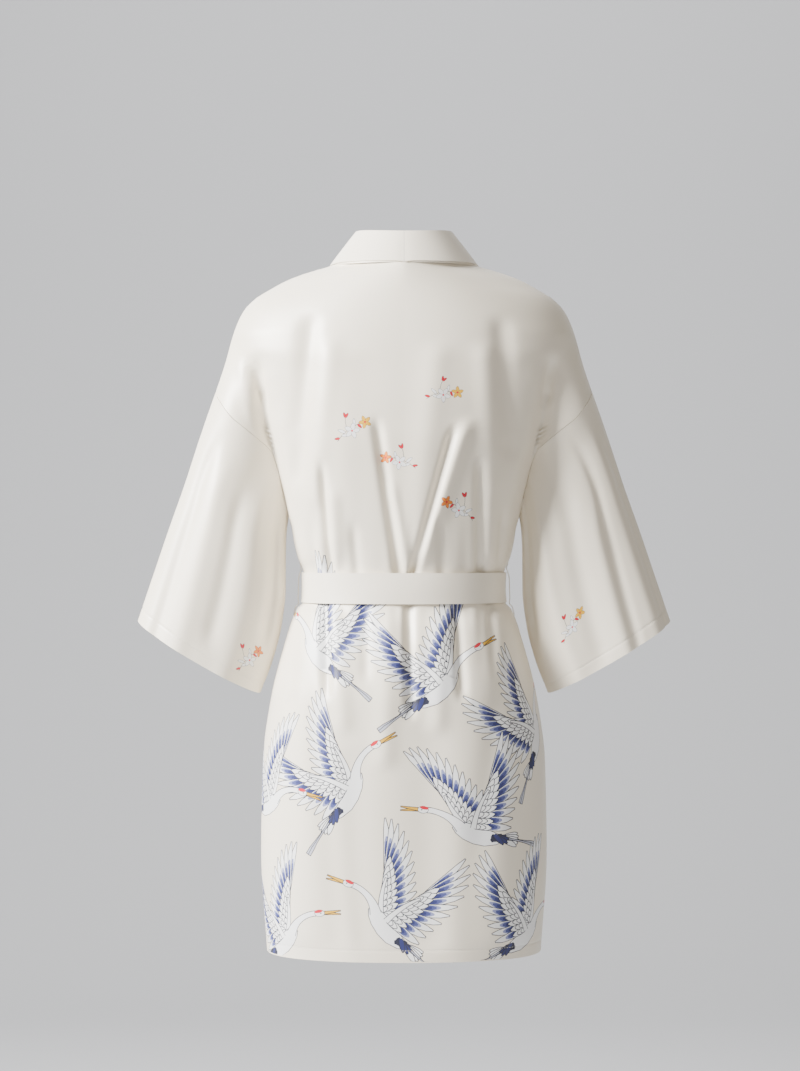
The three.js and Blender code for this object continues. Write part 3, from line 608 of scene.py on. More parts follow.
@dataclass(frozen=True)
class Crane:
    """A flying crane of the traditional kind: long outlined feathers, red crown, gold beak, thin legs."""

    near_wing: float = 108
    far_wing: float = 58
    neck_angle: float = 42
    neck_bend: float = -66
    beak_gap: float = 11
    near_spread: float = 82
    far_spread: float = 70
    feathers: int = 11

    def wing(self, drawing: Drawing, root: Array, angle: float, spread: float, turn: int) -> None:
        """Paints one wing.

        Args:
            drawing: where it is painted.
            root: the shoulder.
            angle: direction of the arm.
            spread: angle over which the flight feathers fan.
            turn: 1 where they fan to the left of the arm, -1 to the right.
        """
        arm = bent_path(root, angle - 14 * turn, 46, 26 * turn, 12)
        shares = np.linspace(0, 1, len(arm))
        bands = ((Ink.PALE_BLUE, 0.5, 0.7), (Ink.BLUE, 0.4, 0.62), (Ink.NAVY, 0.2, 0.53))

        def spot(t: float) -> Array:
            """The place at a share of the arm."""
            return np.array([np.interp(t, shares, arm[:, k]) for k in (0, 1)])

        for i in reversed(range(self.feathers)):
            t = i / (self.feathers - 1)
            lean = angle + turn * (spread * (1 - t) - 4)
            length = 44 + 30 * smooth(t * 1.05) - 7 * t**6
            drawing.feather(spot(0.1 + 0.9 * t), lean, length, 8.6 - 1.6 * t, -10 * turn, bands)
        for count, reach, width, near in ((9, 0.44, 7.2, 0.04), (8, 0.3, 6.0, 0.02), (7, 0.17, 5.2, 0.0)):
            for i in reversed(range(count)):
                t = (i + 0.4) / count
                lean = angle + turn * (spread * (1 - t) + 2)
                length = reach * (46 + 20 * smooth(t))
                tint = ((Ink.SHADE, 0.05, 0.45),)
                drawing.feather(spot(near + 0.92 * t), lean, length, width, -6 * turn, tint)
        drawing.outlined(Ink.WHITE, arm, np.interp(shares, (0, 0.5, 1), (6, 4.2, 1.6)))

    def draw(self) -> Drawing:
        """Paints the bird with its head to the right."""
        art = Drawing()
        self.wing(art, np.array([10.0, 5.0]), self.far_wing, self.far_spread, 1)
        for i in range(5):
            art.feather(np.array([-30.0, -1.5]), 180 - 20 + 10 * i, 23 - 0.8 * abs(i - 2), 6, 0)
        for lift, spread in ((-2.6, -7), (-0.6, -2)):
            leg = bent_path(np.array([-26.0, lift]), 184 + spread, 56, 8, 7)
            art.outlined(Ink.SHADE, leg, np.array([2.2, 1.4, 1.1, 1, 1, 1.2, 2.6, 2.2]))
        body = np.array([(-34, -2), (-24, -3), (-12, -3), (0, -1), (12, 2), (20, 5), (25, 8)], dtype=float)
        art.outlined(Ink.WHITE, body, np.array([4, 12, 18, 20, 18, 14, 9]))
        for i in range(8):
            lean = 180 - 42 + 11 * i
            root = np.array([-18.0 - 3 * (i % 2), -6 + 1.1 * i])
            art.feather(root, lean, 19 - 1.2 * abs(i - 4), 4.6, 10, (), Ink.NAVY if i % 2 else Ink.DARK)
        neck = bent_path(np.array([18.0, 5.0]), self.neck_angle, 46, self.neck_bend, 8)
        art.outlined(Ink.WHITE, neck, np.linspace(12, 5.4, 9) - 2.4 * np.sin(np.linspace(0, np.pi, 9)))
        face = self.neck_angle + self.neck_bend
        ahead, up = heading(face), heading(face + 90)
        head = neck[-1] + 2.5 * ahead
        for tilt in (-self.beak_gap / 2, self.beak_gap / 2):
            beak = bent_path(head + 4 * ahead, face + tilt, 21, 0, 4)
            art.outlined(Ink.GOLD, beak, np.array([3.2, 2.6, 1.9, 1.1, 0.3]))
        art.add(Ink.LINE, oval(head, 6.4, 4.3, face))
        art.add(Ink.WHITE, oval(head, 5.8, 3.7, face))
        art.add(Ink.RED, oval(head + 2.1 * up - 1.2 * ahead, 5.2, 1.9, face + 8))
        art.add(Ink.LINE, oval(head + 1.6 * ahead - 0.2 * up, 0.9, 0.8, face, 8))
        self.wing(art, np.array([4.0, 6.0]), self.near_wing, self.near_spread, 1)
        return art


@dataclass(frozen=True)
class Spray:
    """A small flower spray: two blossoms, crimson buds and thin stems."""

    petals: int = 5
    petal: float = 8.0
    warm: Ink = Ink.GOLD

    def blossom(self, art: Drawing, centre: Array, size: float, ink: Ink, turn: float) -> None:
        """Paints one open flower."""
        for i in range(self.petals):
            lean = turn + 360 * i / self.petals
            art.feather(centre + heading(lean), lean, size, size * 0.62, 0, (), ink)
        art.add(Ink.RED, oval(centre, 1.3, 1.3, 0, 10))

    def draw(self) -> Drawing:
        """Paints the spray upright."""
        art = Drawing(line=0.32)
        stem = bent_path(np.array([-12.0, -16.0]), 70, 40, -45, 9)
        art.add(Ink.LINE, ribbon(stem, np.full(10, 0.6)))
        twig = bent_path(stem[4], 128, 15, -30, 5)
        art.add(Ink.LINE, ribbon(twig, np.full(6, 0.5)))
        for start, lean in ((stem[2], 10), (stem[6], 100), (stem[3], 165)):
            art.feather(start, lean, 8.5, 3, 12, (), Ink.WHITE)
        self.blossom(art, stem[5] + (2, -3), self.petal, Ink.WHITE, 20)
        self.blossom(art, stem[-1], self.petal * 0.8, self.warm, 55)
        for start, lean in ((twig[-1], 120), (twig[-1], 70), (stem[1], 200), (stem[7], -30)):
            art.feather(start, lean, 6, 2.6, 0, (), Ink.RED)
        return art


@dataclass(frozen=True)
class Perch:
    """Where one motif lies on a panel's flat cloth, in millimetres and degrees."""

    s: float
    z: float
    turn: float
    size: float
    flip: bool = False


@dataclass
class Print:
    """All inked shapes of one panel, cut into its outer face."""

    shapes: list[Shape] = field(default_factory=list)
    margin: float = 1.2
    least_area: float = 0.05
    weld: float = 0.002

    def cranes(self, places: Iterable[tuple[Crane, Perch]]) -> None:
        """Adds cranes in painting order."""
        for bird, perch in places:
            self.shapes += bird.draw().placed(perch.s, perch.z, perch.turn, perch.size, perch.flip)

    def sprays(self, places: Iterable[tuple[Spray, Perch]]) -> None:
        """Adds flower sprays in painting order."""
        for spray, perch in places:
            self.shapes += spray.draw().placed(perch.s, perch.z, perch.turn, perch.size, perch.flip)

    def clamped(self, grid: "ClothGrid") -> list[Shape]:
        """The shapes kept a little inside the panel's edges, without those wholly outside."""
        low, high = grid.heights[-1] + self.margin, grid.heights[0] - self.margin
        kept = []
        for shape in self.shapes:
            s, z = shape.points[:, 0], shape.points[:, 1]
            left = np.interp(-z, -grid.heights, grid.across[:, 0]) + self.margin
            right = np.interp(-z, -grid.heights, grid.across[:, -1]) - self.margin
            outside = (z < low) | (z > high) | (s < left) | (s > right)
            if outside.all():
                continue
            z = np.clip(z, low, high)
            left = np.interp(-z, -grid.heights, grid.across[:, 0]) + self.margin
            right = np.interp(-z, -grid.heights, grid.across[:, -1]) - self.margin
            kept.append(Shape(shape.ink, np.stack([np.clip(s, left, right), z], axis=1)))
        return kept

    def cells(self, grid: "ClothGrid", shapes: Sequence[Shape]) -> Array:
        """Mask of the grid's cells that the shapes touch."""
        mask = np.zeros((grid.points.shape[0] - 1, grid.points.shape[1] - 1), dtype=bool)
        for shape in shapes:
            low, high = shape.points.min(axis=0) - 0.3, shape.points.max(axis=0) + 0.3
            first = max(0, int(np.searchsorted(-grid.heights, -high[1])) - 1)
            last = min(len(mask), int(np.searchsorted(-grid.heights, -low[1])) + 1)
            for i in range(first, last):
                near = np.minimum(grid.across[i], grid.across[i + 1])
                far = np.maximum(grid.across[i], grid.across[i + 1])
                mask[i] |= (near[:-1] <= high[0]) & (far[1:] >= low[0])
        return mask

    def shown(self, shapes: Sequence[Shape]) -> Array:
        """Sides of the outlines that no later shape covers, each as its start and its end."""
        starts = np.concatenate([shape.points for shape in shapes])
        ends = np.concatenate([np.roll(shape.points, -1, axis=0) for shape in shapes])
        owner = np.repeat(np.arange(len(shapes)), [len(shape.points) for shape in shapes])
        covered = np.ones(len(owner), dtype=bool)
        for spots in (starts, (starts + ends) / 2, ends):
            under = np.zeros(len(owner), dtype=bool)
            for number, shape in enumerate(shapes):
                inside = shape.holds(spots)
                under[inside[owner[inside] < number]] = True
            covered &= under
        return np.stack([starts, ends], axis=1)[~covered]

    def cut(self, grid: "ClothGrid") -> tuple[Array, Array, list, list]:
        """Cuts the shapes into the cloth.

        Args:
            grid: the panel's outer face.

        Returns:
            The mask of replaced cells, the flat places of the new points, the new triangles (numbers
            below zero are new points, -1 the first) and their material slots, 0 for bare cloth.
        """
        shapes = self.clamped(grid)
        mask = self.cells(grid, shapes)
        rows, columns = grid.points.shape[:2]
        index = np.arange(rows * columns).reshape(rows, columns)
        used = np.zeros((rows, columns), dtype=bool)
        for di in (0, 1):
            for dj in (0, 1):
                used[di : di + rows - 1, dj : dj + columns - 1] |= mask
        corner = index[used]
        number = {int(v): k for k, v in enumerate(corner)}
        flat = np.stack([grid.across.ravel(), np.repeat(grid.heights, columns)], axis=1)
        points = [Vector(p) for p in flat[corner]]
        padded = np.pad(mask, 1)
        edges = []
        for i, j in np.argwhere(mask):
            a, b, c, d = index[i, j], index[i, j + 1], index[i + 1, j + 1], index[i + 1, j]
            near = (padded[i, j + 1], padded[i + 1, j + 2], padded[i + 2, j + 1], padded[i + 1, j])
            for beside, (start, end) in zip(near, ((a, b), (b, c), (c, d), (d, a))):
                if not beside:
                    edges.append((number[int(start)], number[int(end)]))
        shapes = [shape for shape in shapes if shape.area() > self.least_area]
        for start, end in self.shown(shapes):
            edges.append((len(points), len(points) + 1))
            points += [Vector(start), Vector(end)]
        made = delaunay_2d_cdt(points, edges, [], 0, self.weld, True)
        spots, triangles, came_from = made[0], made[2], made[3]
        place = np.array([tuple(p) for p in spots])
        names = np.zeros(len(place), dtype=int)
        fresh = []
        for k, came in enumerate(came_from):
            base = min(came, default=len(corner))
            if base < len(corner):
                names[k] = corner[base]
            else:
                fresh.append(k)
                names[k] = -len(fresh)
        centres = place[np.array(triangles)].mean(axis=1)
        i, j, _, _ = grid.locate(*centres.T)
        painted = np.full(len(triangles), -1)
        for shape in shapes:
            painted[shape.holds(centres)] = list(Ink).index(shape.ink)
        chosen = np.flatnonzero(mask[i, j])
        kept = [[int(names[k]) for k in reversed(triangles[number])] for number in chosen]
        log.info("print: %d shapes, %d triangles", len(shapes), len(kept))
        return mask, place[fresh], kept, (painted[chosen] + 1).tolist()


@dataclass
class Wrinkles:
    """Fine, low unevenness of worn satin: a few fixed slanted waves under a soft envelope."""

    height: float = 0.35
    waves: tuple[tuple[float, float, float, float], ...] = (
        (0.031, 0.0125, 0.4, 1.0),
        (-0.022, 0.0171, 2.1, 0.8),
        (0.052, -0.0093, 4.0, 0.5),
        (0.014, 0.0365, 1.3, 0.45),
    )

    def push(self, s: Array, z: Array | float, start: float) -> Array:
        """Displacement of a point of the cloth, different for each panel's start phase."""
        total = 0.0
        for along, down, phase, share in self.waves:
            total = total + share * np.sin(along * s + down * z + phase + start)
        return self.height * total


@dataclass
class BodyPanel:
    """A back or front panel: sections at many heights, with folds, gathers at the belt and wrinkles."""

    name: str
    face: Face
    side: Side
    folds: tuple[Fold, ...]
    lap: float = 0.0
    wall: float = 1.2
    hem_wall: float = 2.0
    seam_gap: float = 0.2
    columns: int = 90
    outer_columns: int = 18
    outer_run: float = 32.0
    inner_share: float = 0.86
    rows_step: float = 5.6
    gather_height: float = 0.9
    gather_length: float = 34.0
    hem_line: float = -803.0
    groove: float = 0.45
    groove_half: float = 1.1
    phase: float = 0.0
    wrinkles: Wrinkles = field(default_factory=Wrinkles)
    steps: int = 260
    inked: Print | None = None

    def heights(self) -> Array:
        """Heights of the panel's rows below its top."""
        marks = [-4.2, -20, -60, FORM.shoulder_tip, FORM.underarm, -359, FORM.belt_top, FORM.belt_bottom,
                 -409, self.hem_line + 2.4, self.hem_line + self.groove_half, self.hem_line,
                 self.hem_line - self.groove_half, self.hem_line - 2.4, FORM.hem]
        rows = [np.array([-0.6, -1.4, -2.6])]
        for top, bottom in zip(marks, marks[1:]):
            count = max(1, round((top - bottom) / self.rows_step))
            rows.append(np.linspace(top, bottom, count, endpoint=False))
        return np.concatenate([*rows, [FORM.hem]])

    def middle(self, z: float) -> float:
        """Where the panel's half section starts: the centre back or the collar's seam."""
        return 0.0 if self.face is Face.BACK else float(FORM.front_edge.at("x", z))

    def gathers(self, s: Array, z: float) -> Array:
        """Small pleats that the belt draws in above and below itself."""
        above, below = z - FORM.belt_top, FORM.belt_bottom - z
        away = np.where(above > 0, above, below)
        if away < 0 or away > 3 * self.gather_length:
            return np.zeros_like(s)
        fade = np.exp(-away / self.gather_length) * smooth(away / 5)
        spacing = np.sin(0.33 * s + 1.4 * np.sin(0.045 * s + self.phase) + self.phase)
        uneven = 0.55 + 0.45 * np.sin(0.061 * s + 2.2 + self.phase)
        return self.gather_height * spacing * uneven * fade

    def row(self, z: float, folds: Sequence[Fold]) -> tuple[Array, Array]:
        """One row of the half panel and the flat distance of each point from the body's centre line."""
        start, end = self.middle(z), FORM.panel_end(z)
        turn = np.sin(np.linspace(0, np.pi / 2, self.steps))
        x = start + (end - start) * turn
        y = FORM.depth(self.face, x, z)
        if FORM.closes(z):
            y[-1] = 0
        arc = np.concatenate([[0], np.cumsum(np.hypot(np.diff(x), np.diff(y)))])
        inner = float(np.interp(start + self.inner_share * (end - start), x, arc))
        rest = arc[-1] - inner
        step = min(self.outer_run, 0.8 * rest)
        outer = np.linspace(0, 1, self.outer_columns + 1)[1:]
        wanted = np.concatenate([
            np.linspace(0, inner, self.columns - self.outer_columns + 1),
            inner + step * outer + (rest - step) * outer**4,
        ])
        px, py = np.interp(wanted, arc, x), np.interp(wanted, arc, y)
        nx, ny = FORM.normal(self.face, px, z)
        s = wanted + start
        edge = smooth((end - np.abs(px)) / FORM.fold_edge) * smooth(1.6 * (arc[-1] - wanted) / FORM.fold_edge)
        push = sum((fold.push(px, z, FORM.fold_run) for fold in folds), np.zeros_like(px))
        held = smooth((z - FORM.belt_top) / 6) + smooth((FORM.belt_bottom - z) / 6)
        loose = self.gathers(s, z) + self.wrinkles.push(s, z, self.phase) * held
        sewn = self.groove * math.exp(-(((z - self.hem_line) / self.groove_half) ** 2))
        push = (push + loose) * edge * FORM.calm(px, z) + FORM.lap(px, z, self.lap) - sewn
        push[-1] = 0
        sign = self.face.value
        return np.stack([px + nx * push, sign * (py + ny * push), np.full_like(px, z)], axis=1), s

    def half(self, mirror_folds: bool) -> tuple[Array, Array, Array]:
        """Rows of the half panel on the wearer's left."""
        folds = self.folds
        if mirror_folds:
            folds = tuple(replace(f, top_x=-f.top_x, bottom_x=-f.bottom_x) for f in folds)
        heights = self.heights()
        pairs = [self.row(float(z), folds) for z in heights]
        return np.stack([p for p, _ in pairs]), np.stack([s for _, s in pairs]), heights

    def neck(self, count: int) -> Array:
        """Neck seam of the back, from the centre to the neck point."""
        turn = np.linspace(0, np.pi / 2, count)
        closing = np.cos(turn)
        closing[-1] = 0
        drop = -FORM.neck_drop * closing**2
        return np.stack([FORM.neck_x * np.sin(turn), FORM.neck_y * closing, drop], axis=1)

    def grid(self) -> ClothGrid:
        """The panel's outer face."""
        points, across, heights = self.half(False)
        if self.face is Face.BACK:
            points = np.concatenate([self.neck(self.columns + 1)[None], points[2:]])
            across = np.concatenate([across[:1], across[2:]])
            heights = np.concatenate([[0.0], heights[2:]])
            other, other_across, _ = self.half(True)
            other = np.concatenate([self.neck(self.columns + 1)[None], other[2:]]) * (-1, 1, 1)
            other_across = -np.concatenate([other_across[:1], other_across[2:]])
            points = np.concatenate([other[:, :0:-1], points], axis=1)
            across = np.concatenate([other_across[:, :0:-1], across], axis=1)
            return ClothGrid(points, across, heights)
        points, across = points[:, ::-1], -across[:, ::-1]
        if self.side is Side.RIGHT:
            points, across = (points * (-1, 1, 1))[:, ::-1], -across[:, ::-1]
        return ClothGrid(points, across, heights)

    def build(self) -> tuple[bpy.types.Object, ClothGrid]:
        """Makes the panel's wall.

        Returns:
            The object and the grid of its outer face.
        """
        grid = self.grid()
        drawn = pull_in(grid.points, self.seam_gap, grid.closed)
        thick = np.where(grid.heights <= self.hem_line, self.hem_wall, self.wall)[:, None]
        wall = MeshMaker.wall(drawn, seam_normals(grid), 0.0, thick, grid.closed)
        return wall.build(self.name, grid, self.inked), grid


def seam_normals(grid: ClothGrid) -> Array:
    """Normals of a panel, level with its neighbour's along the shoulder and side seams."""
    normals = grid.normals.copy()
    for column in (0, -1):
        on_plane = np.abs(grid.points[:, column, 1]) < 1e-6
        normals[on_plane, column, 1] = 0
        length = np.linalg.norm(normals[:, column], axis=1, keepdims=True)
        normals[:, column] /= np.maximum(length, 1e-9)
    return normals


def pull_in(points: Array, gap: float, closed: bool) -> Array:
    """Draws the edges of a grid a little into it, so that seams stay open by a hair."""
    drawn = points.copy()

    def toward(edge: Array, inner: Array) -> Array:
        """The edge moved toward its neighbour by the gap."""
        direction = inner - edge
        length = np.linalg.norm(direction, axis=-1, keepdims=True)
        return edge + direction / np.maximum(length, 1e-9) * np.minimum(gap, 0.4 * length)

    drawn[0] = toward(points[0], points[1])
    drawn[-1] = toward(points[-1], points[-2])
    if not closed:
        drawn[:, 0] = toward(drawn[:, 0], drawn[:, 1])
        drawn[:, -1] = toward(drawn[:, -1], drawn[:, -2])
    return drawn


def front_point(x: Array, z: Array, out: Array) -> Array:
    """Points of the front's cloth, pushed outward, also past the middle.

    Args:
        x: positions across.
        z: heights.
        out: outward offsets.

    Returns:
        Points, one row for each x.
    """
    result = []
    for px, pz, push in zip(np.ravel(x), np.ravel(z), np.ravel(np.broadcast_to(out, np.shape(x)))):
        one = np.array([px])
        nx, ny = FORM.normal(Face.FRONT, one, float(pz))
        y = FORM.depth(Face.FRONT, one, float(pz))
        result.append([px + nx[0] * push, -(y[0] + ny[0] * push), pz])
    return np.array(result)


@dataclass
class Sleeve:
    """A wide sleeve: rings from the armhole to the cuff."""

    name: str
    side: Side
    folds: tuple[SleeveFold, ...]
    columns: int = 168
    rings: int = 74
    egg: float = 0.16
    blend: float = 0.38
    droop: float = 6.0
    wall: float = 1.2
    cuff_wall: float = 2.0
    cuff_w: float = 0.945
    groove: float = 0.45
    groove_w: float = 0.004
    length: float = 250.0
    clear: float = 0.32
    seam_gap: float = 0.2
    phase: float = 0.0
    wrinkles: Wrinkles = field(default_factory=lambda: Wrinkles(height=0.45))
    inked: Print | None = None
    line: Table = Table(("w", "outer_x", "outer_z", "inner_x", "inner_z", "depth"), (
        (0, 226, -151, 138, -300, 46), (0.1, 235.5, -178, 140.5, -321, 46),
        (0.2, 245, -206, 141.3, -343, 47), (0.4, 262.5, -260, 141.6, -386, 47),
        (0.6, 282, -315, 146.5, -430, 45), (0.8, 300, -368, 157, -471, 43), (1, 319, -424, 172, -510, 41),
    ))

    def ring(self, w: float, folds: Sequence[SleeveFold]) -> Array:
        """One ring on the wearer's left, from the outer line by the front to the inner one and back."""
        outer = np.array([self.line.at("outer_x", w), self.line.at("outer_z", w)])
        inner = np.array([self.line.at("inner_x", w), self.line.at("inner_z", w)])
        depth = float(self.line.at("depth", w))
        half = (outer - inner) / 2
        reach = float(np.linalg.norm(half))
        k = np.arange(self.columns)
        turn = 2 * np.pi * k / self.columns
        cos, sin = np.cos(turn), np.sin(turn)
        sin[[0, self.columns // 2]] = 0
        share = np.minimum(k, self.columns - k) / (self.columns / 2)
        push = np.zeros(self.columns)
        for fold in folds:
            push += np.where(sin > 0, fold.push(Face.FRONT, share, w), 0)
            push += np.where(sin <= 0, fold.push(Face.BACK, share, w), 0)
        if folds:
            loose = self.wrinkles.push(150 * share * np.sign(sin), -self.length * w, self.phase)
            push += loose * smooth(w / 0.2) * np.minimum(1, 3 * np.abs(sin))
            push -= self.groove * math.exp(-(((w - self.cuff_w) / self.groove_w) ** 2))
        nx, ny = cos / reach, sin / depth
        length = np.hypot(nx, ny)
        along = reach * cos + nx / length * push
        y = -(depth * sin * (1 + self.egg * cos) + ny / length * push)
        x = inner[0] + half[0] + half[0] / reach * along
        z = inner[1] + half[1] + half[1] / reach * along - self.droop * np.abs(sin) * w
        return np.stack([x, y, z], axis=1)

    def armhole(self) -> Array:
        """The armhole's seam as a ring, the same as the edge of the body panels."""
        count = self.columns // 2
        z = mix(FORM.shoulder_tip, FORM.underarm, np.arange(count + 1) / count)
        x = FORM.armhole.at("x", z)
        front = np.array([float(FORM.depth(Face.FRONT, np.array([a]), float(b))[0]) for a, b in zip(x, z)])
        back = np.array([float(FORM.depth(Face.BACK, np.array([a]), float(b))[0]) for a, b in zip(x, z)])
        front[[0, -1]] = 0
        back[[0, -1]] = 0
        first = np.stack([x, -front, z], axis=1)
        second = np.stack([x, back, z], axis=1)[count - 1 : 0 : -1]
        return np.concatenate([first, second])

    def grid(self) -> ClothGrid:
        """The sleeve's outer face, rows down the arm."""
        hole = self.armhole()
        start = self.ring(0, ())
        rows = [hole]
        line = self.cuff_w + self.groove_w * np.array([-2, -1, 0, 1, 2])
        shares = np.concatenate([np.linspace(0, self.cuff_w, self.rings)[1:-1], line, [0.965, 0.985, 1]])
        for w in shares:
            hold = (1 - w / self.blend) ** 2 if w < self.blend else 0
            rows.append(self.ring(float(w), self.folds) + hold * (hole - start))
        points = np.stack(rows) + (self.clear, 0, 0)
        lengths = np.linalg.norm(np.diff(points, axis=1), axis=2)
        arc = np.concatenate([np.zeros((len(points), 1)), np.cumsum(lengths, axis=1)], axis=1)
        across = arc - arc[:, self.columns // 2][:, None]
        heights = -self.length * np.concatenate([[0], shares])
        if self.side is Side.RIGHT:
            points = points[:, ::-1] * (-1, 1, 1)
            across = -across[:, ::-1]
        return ClothGrid(points, across, heights, closed=True)

    def build(self) -> tuple[bpy.types.Object, ClothGrid]:
        """Makes the sleeve's wall and returns it with its outer face."""
        grid = self.grid()
        drawn = pull_in(grid.points, self.seam_gap, True)
        thick = np.where(grid.heights <= -self.length * self.cuff_w, self.cuff_wall, self.wall)[:, None]
        wall = MeshMaker.wall(drawn, grid.normals, 0.0, thick, True)
        return wall.build(self.name, grid, self.inked), grid


@dataclass
class CollarBand:
    """Half of the double collar band, from the centre back round the neck and down the front edge."""

    name: str
    side: Side
    lap: float
    half_wall: float = 1.2
    sink: float = 0.6
    lift: float = 0.8
    flat_lift: float = 0.2
    across: int = 10
    neck_stations: int = 30
    pillow: float = 0.5
    top_x: float = 57
    top_y: float = 60
    top_z: float = 41
    top_drop: float = 5
    phase: float = 0.0
    edge: Table = Table(("z", "dx", "dy", "dz", "lie"), (
        (0, -32, 0, 41, 0), (-5, -32, 2, 42, 0), (-11, -34, 1, 41, 0), (-30, -40, 1, 34, 0.1),
        (-60, -44, 5, 26, 0.6), (-100, -46, 4, 20, 1), (-150, -47, 0, 17, 1), (-300, -47, 0, 17, 1),
        (-350, -48.5, 0, 12, 1), (-384, -50, 0, 4, 1), (-402, -50, 0, 0, 1), (-817, -50, 0, 0, 1),
    ))

    def foot(self, point: Array, normal: Array, edge: Array, stand: float) -> Array:
        """Foot of the band's middle at its seam, sunk into the wall and lifted where it stands."""
        foot = point - normal * self.sink
        direction = (edge - foot) / np.linalg.norm(edge - foot)
        return foot + direction * mix(self.flat_lift, self.lift, stand)

    def stations(self, back: ClothGrid, panel: ClothGrid) -> tuple[Array, Array]:
        """Seam feet and free edges of the band on the wearer's left."""
        turn = np.linspace(0, np.pi / 2, self.neck_stations)
        closing = np.cos(turn)
        closing[-1] = 0
        feet, edges = [], []
        middle = back.points.shape[1] // 2
        columns = middle + np.round(np.linspace(0, middle, self.neck_stations)).astype(int)
        for k, column in enumerate(columns):
            c = closing[k]
            seam = np.array([FORM.neck_x * np.sin(turn[k]), FORM.neck_y * c, -FORM.neck_drop * c * c])
            top = np.array([self.top_x * np.sin(turn[k]), self.top_y * c, self.top_z - self.top_drop * c * c])
            feet.append(self.foot(seam, back.normals[0][column], top, 1))
            edges.append(top)
        column = -1 if self.side is Side.LEFT else 0
        flip = np.array([self.side.value, 1, 1])
        for i, z in enumerate(panel.heights):
            if z > -4:
                continue
            seam = panel.points[i][column] * flip
            normal = panel.normals[i][column] * flip
            x = float(FORM.front_edge.at("x", z) + self.edge.at("dx", z))
            edge_z = min(0.0, float(z + self.edge.at("dz", z)))
            push = float(FORM.lap(x, edge_z, self.lap)) - self.sink
            lying = front_point(np.array([x]), np.array([edge_z]), push)[0]
            lie = float(self.edge.at("lie", z))
            y = mix(seam[1] + float(self.edge.at("dy", z)), lying[1], lie)
            edge = np.array([x, y, z + float(self.edge.at("dz", z))])
            feet.append(self.foot(seam, normal, edge, 1 - lie))
            edges.append(edge)
        return np.array(feet), np.array(edges)

    def grid(self, back: ClothGrid, panel: ClothGrid) -> ClothGrid:
        """The band's middle surface."""
        feet, edges = self.stations(back, panel)
        share = np.linspace(0, 1, self.across + 1)
        rows = mix(feet[:, None], edges[:, None], share[None, :, None])
        along = np.concatenate([[0], np.cumsum(np.linalg.norm(np.diff(feet, axis=0), axis=1))])
        for i, row in enumerate(rows):
            lying = smooth((-70 - feet[i, 2]) / 50)
            if lying <= 0:
                continue
            for k in range(1, self.across):
                x, z = row[k, 0], min(0.0, row[k, 2])
                push = float(FORM.lap(x, z, self.lap)) - self.sink
                on_cloth = front_point(np.array([x]), np.array([z]), push)[0]
                rows[i, k, 1] = mix(row[k, 1], on_cloth[1], lying)
        across = np.broadcast_to(share * 50, rows.shape[:2]).copy()
        normals = MeshMaker.normals(rows, False)
        ease = np.sin(np.pi * share) ** 0.6
        ripple = 0.35 * np.sin(0.11 * along + self.phase) + 0.25 * np.sin(0.047 * along + 2 * self.phase)
        rows = rows + normals * (self.pillow * ease[None, :] * (0.5 + 0.5 * ripple[:, None]))[..., None]
        if self.side is Side.RIGHT:
            rows = rows[:, ::-1] * (-1, 1, 1)
        return ClothGrid(rows, across, -along)

    def build(self, back: ClothGrid, panel: ClothGrid) -> tuple[bpy.types.Object, ClothGrid]:
        """Makes the band's wall and returns it with its middle surface."""
        grid = self.grid(back, panel)
        drawn = pull_in(grid.points, 0.2, False)
        normals = grid.normals.copy()
        normals[0, :, 0] = 0
        normals[0] /= np.linalg.norm(normals[0], axis=1, keepdims=True)
        wall = MeshMaker.wall(drawn, normals, self.half_wall, self.half_wall, False)
        return wall.build(self.name, grid), grid


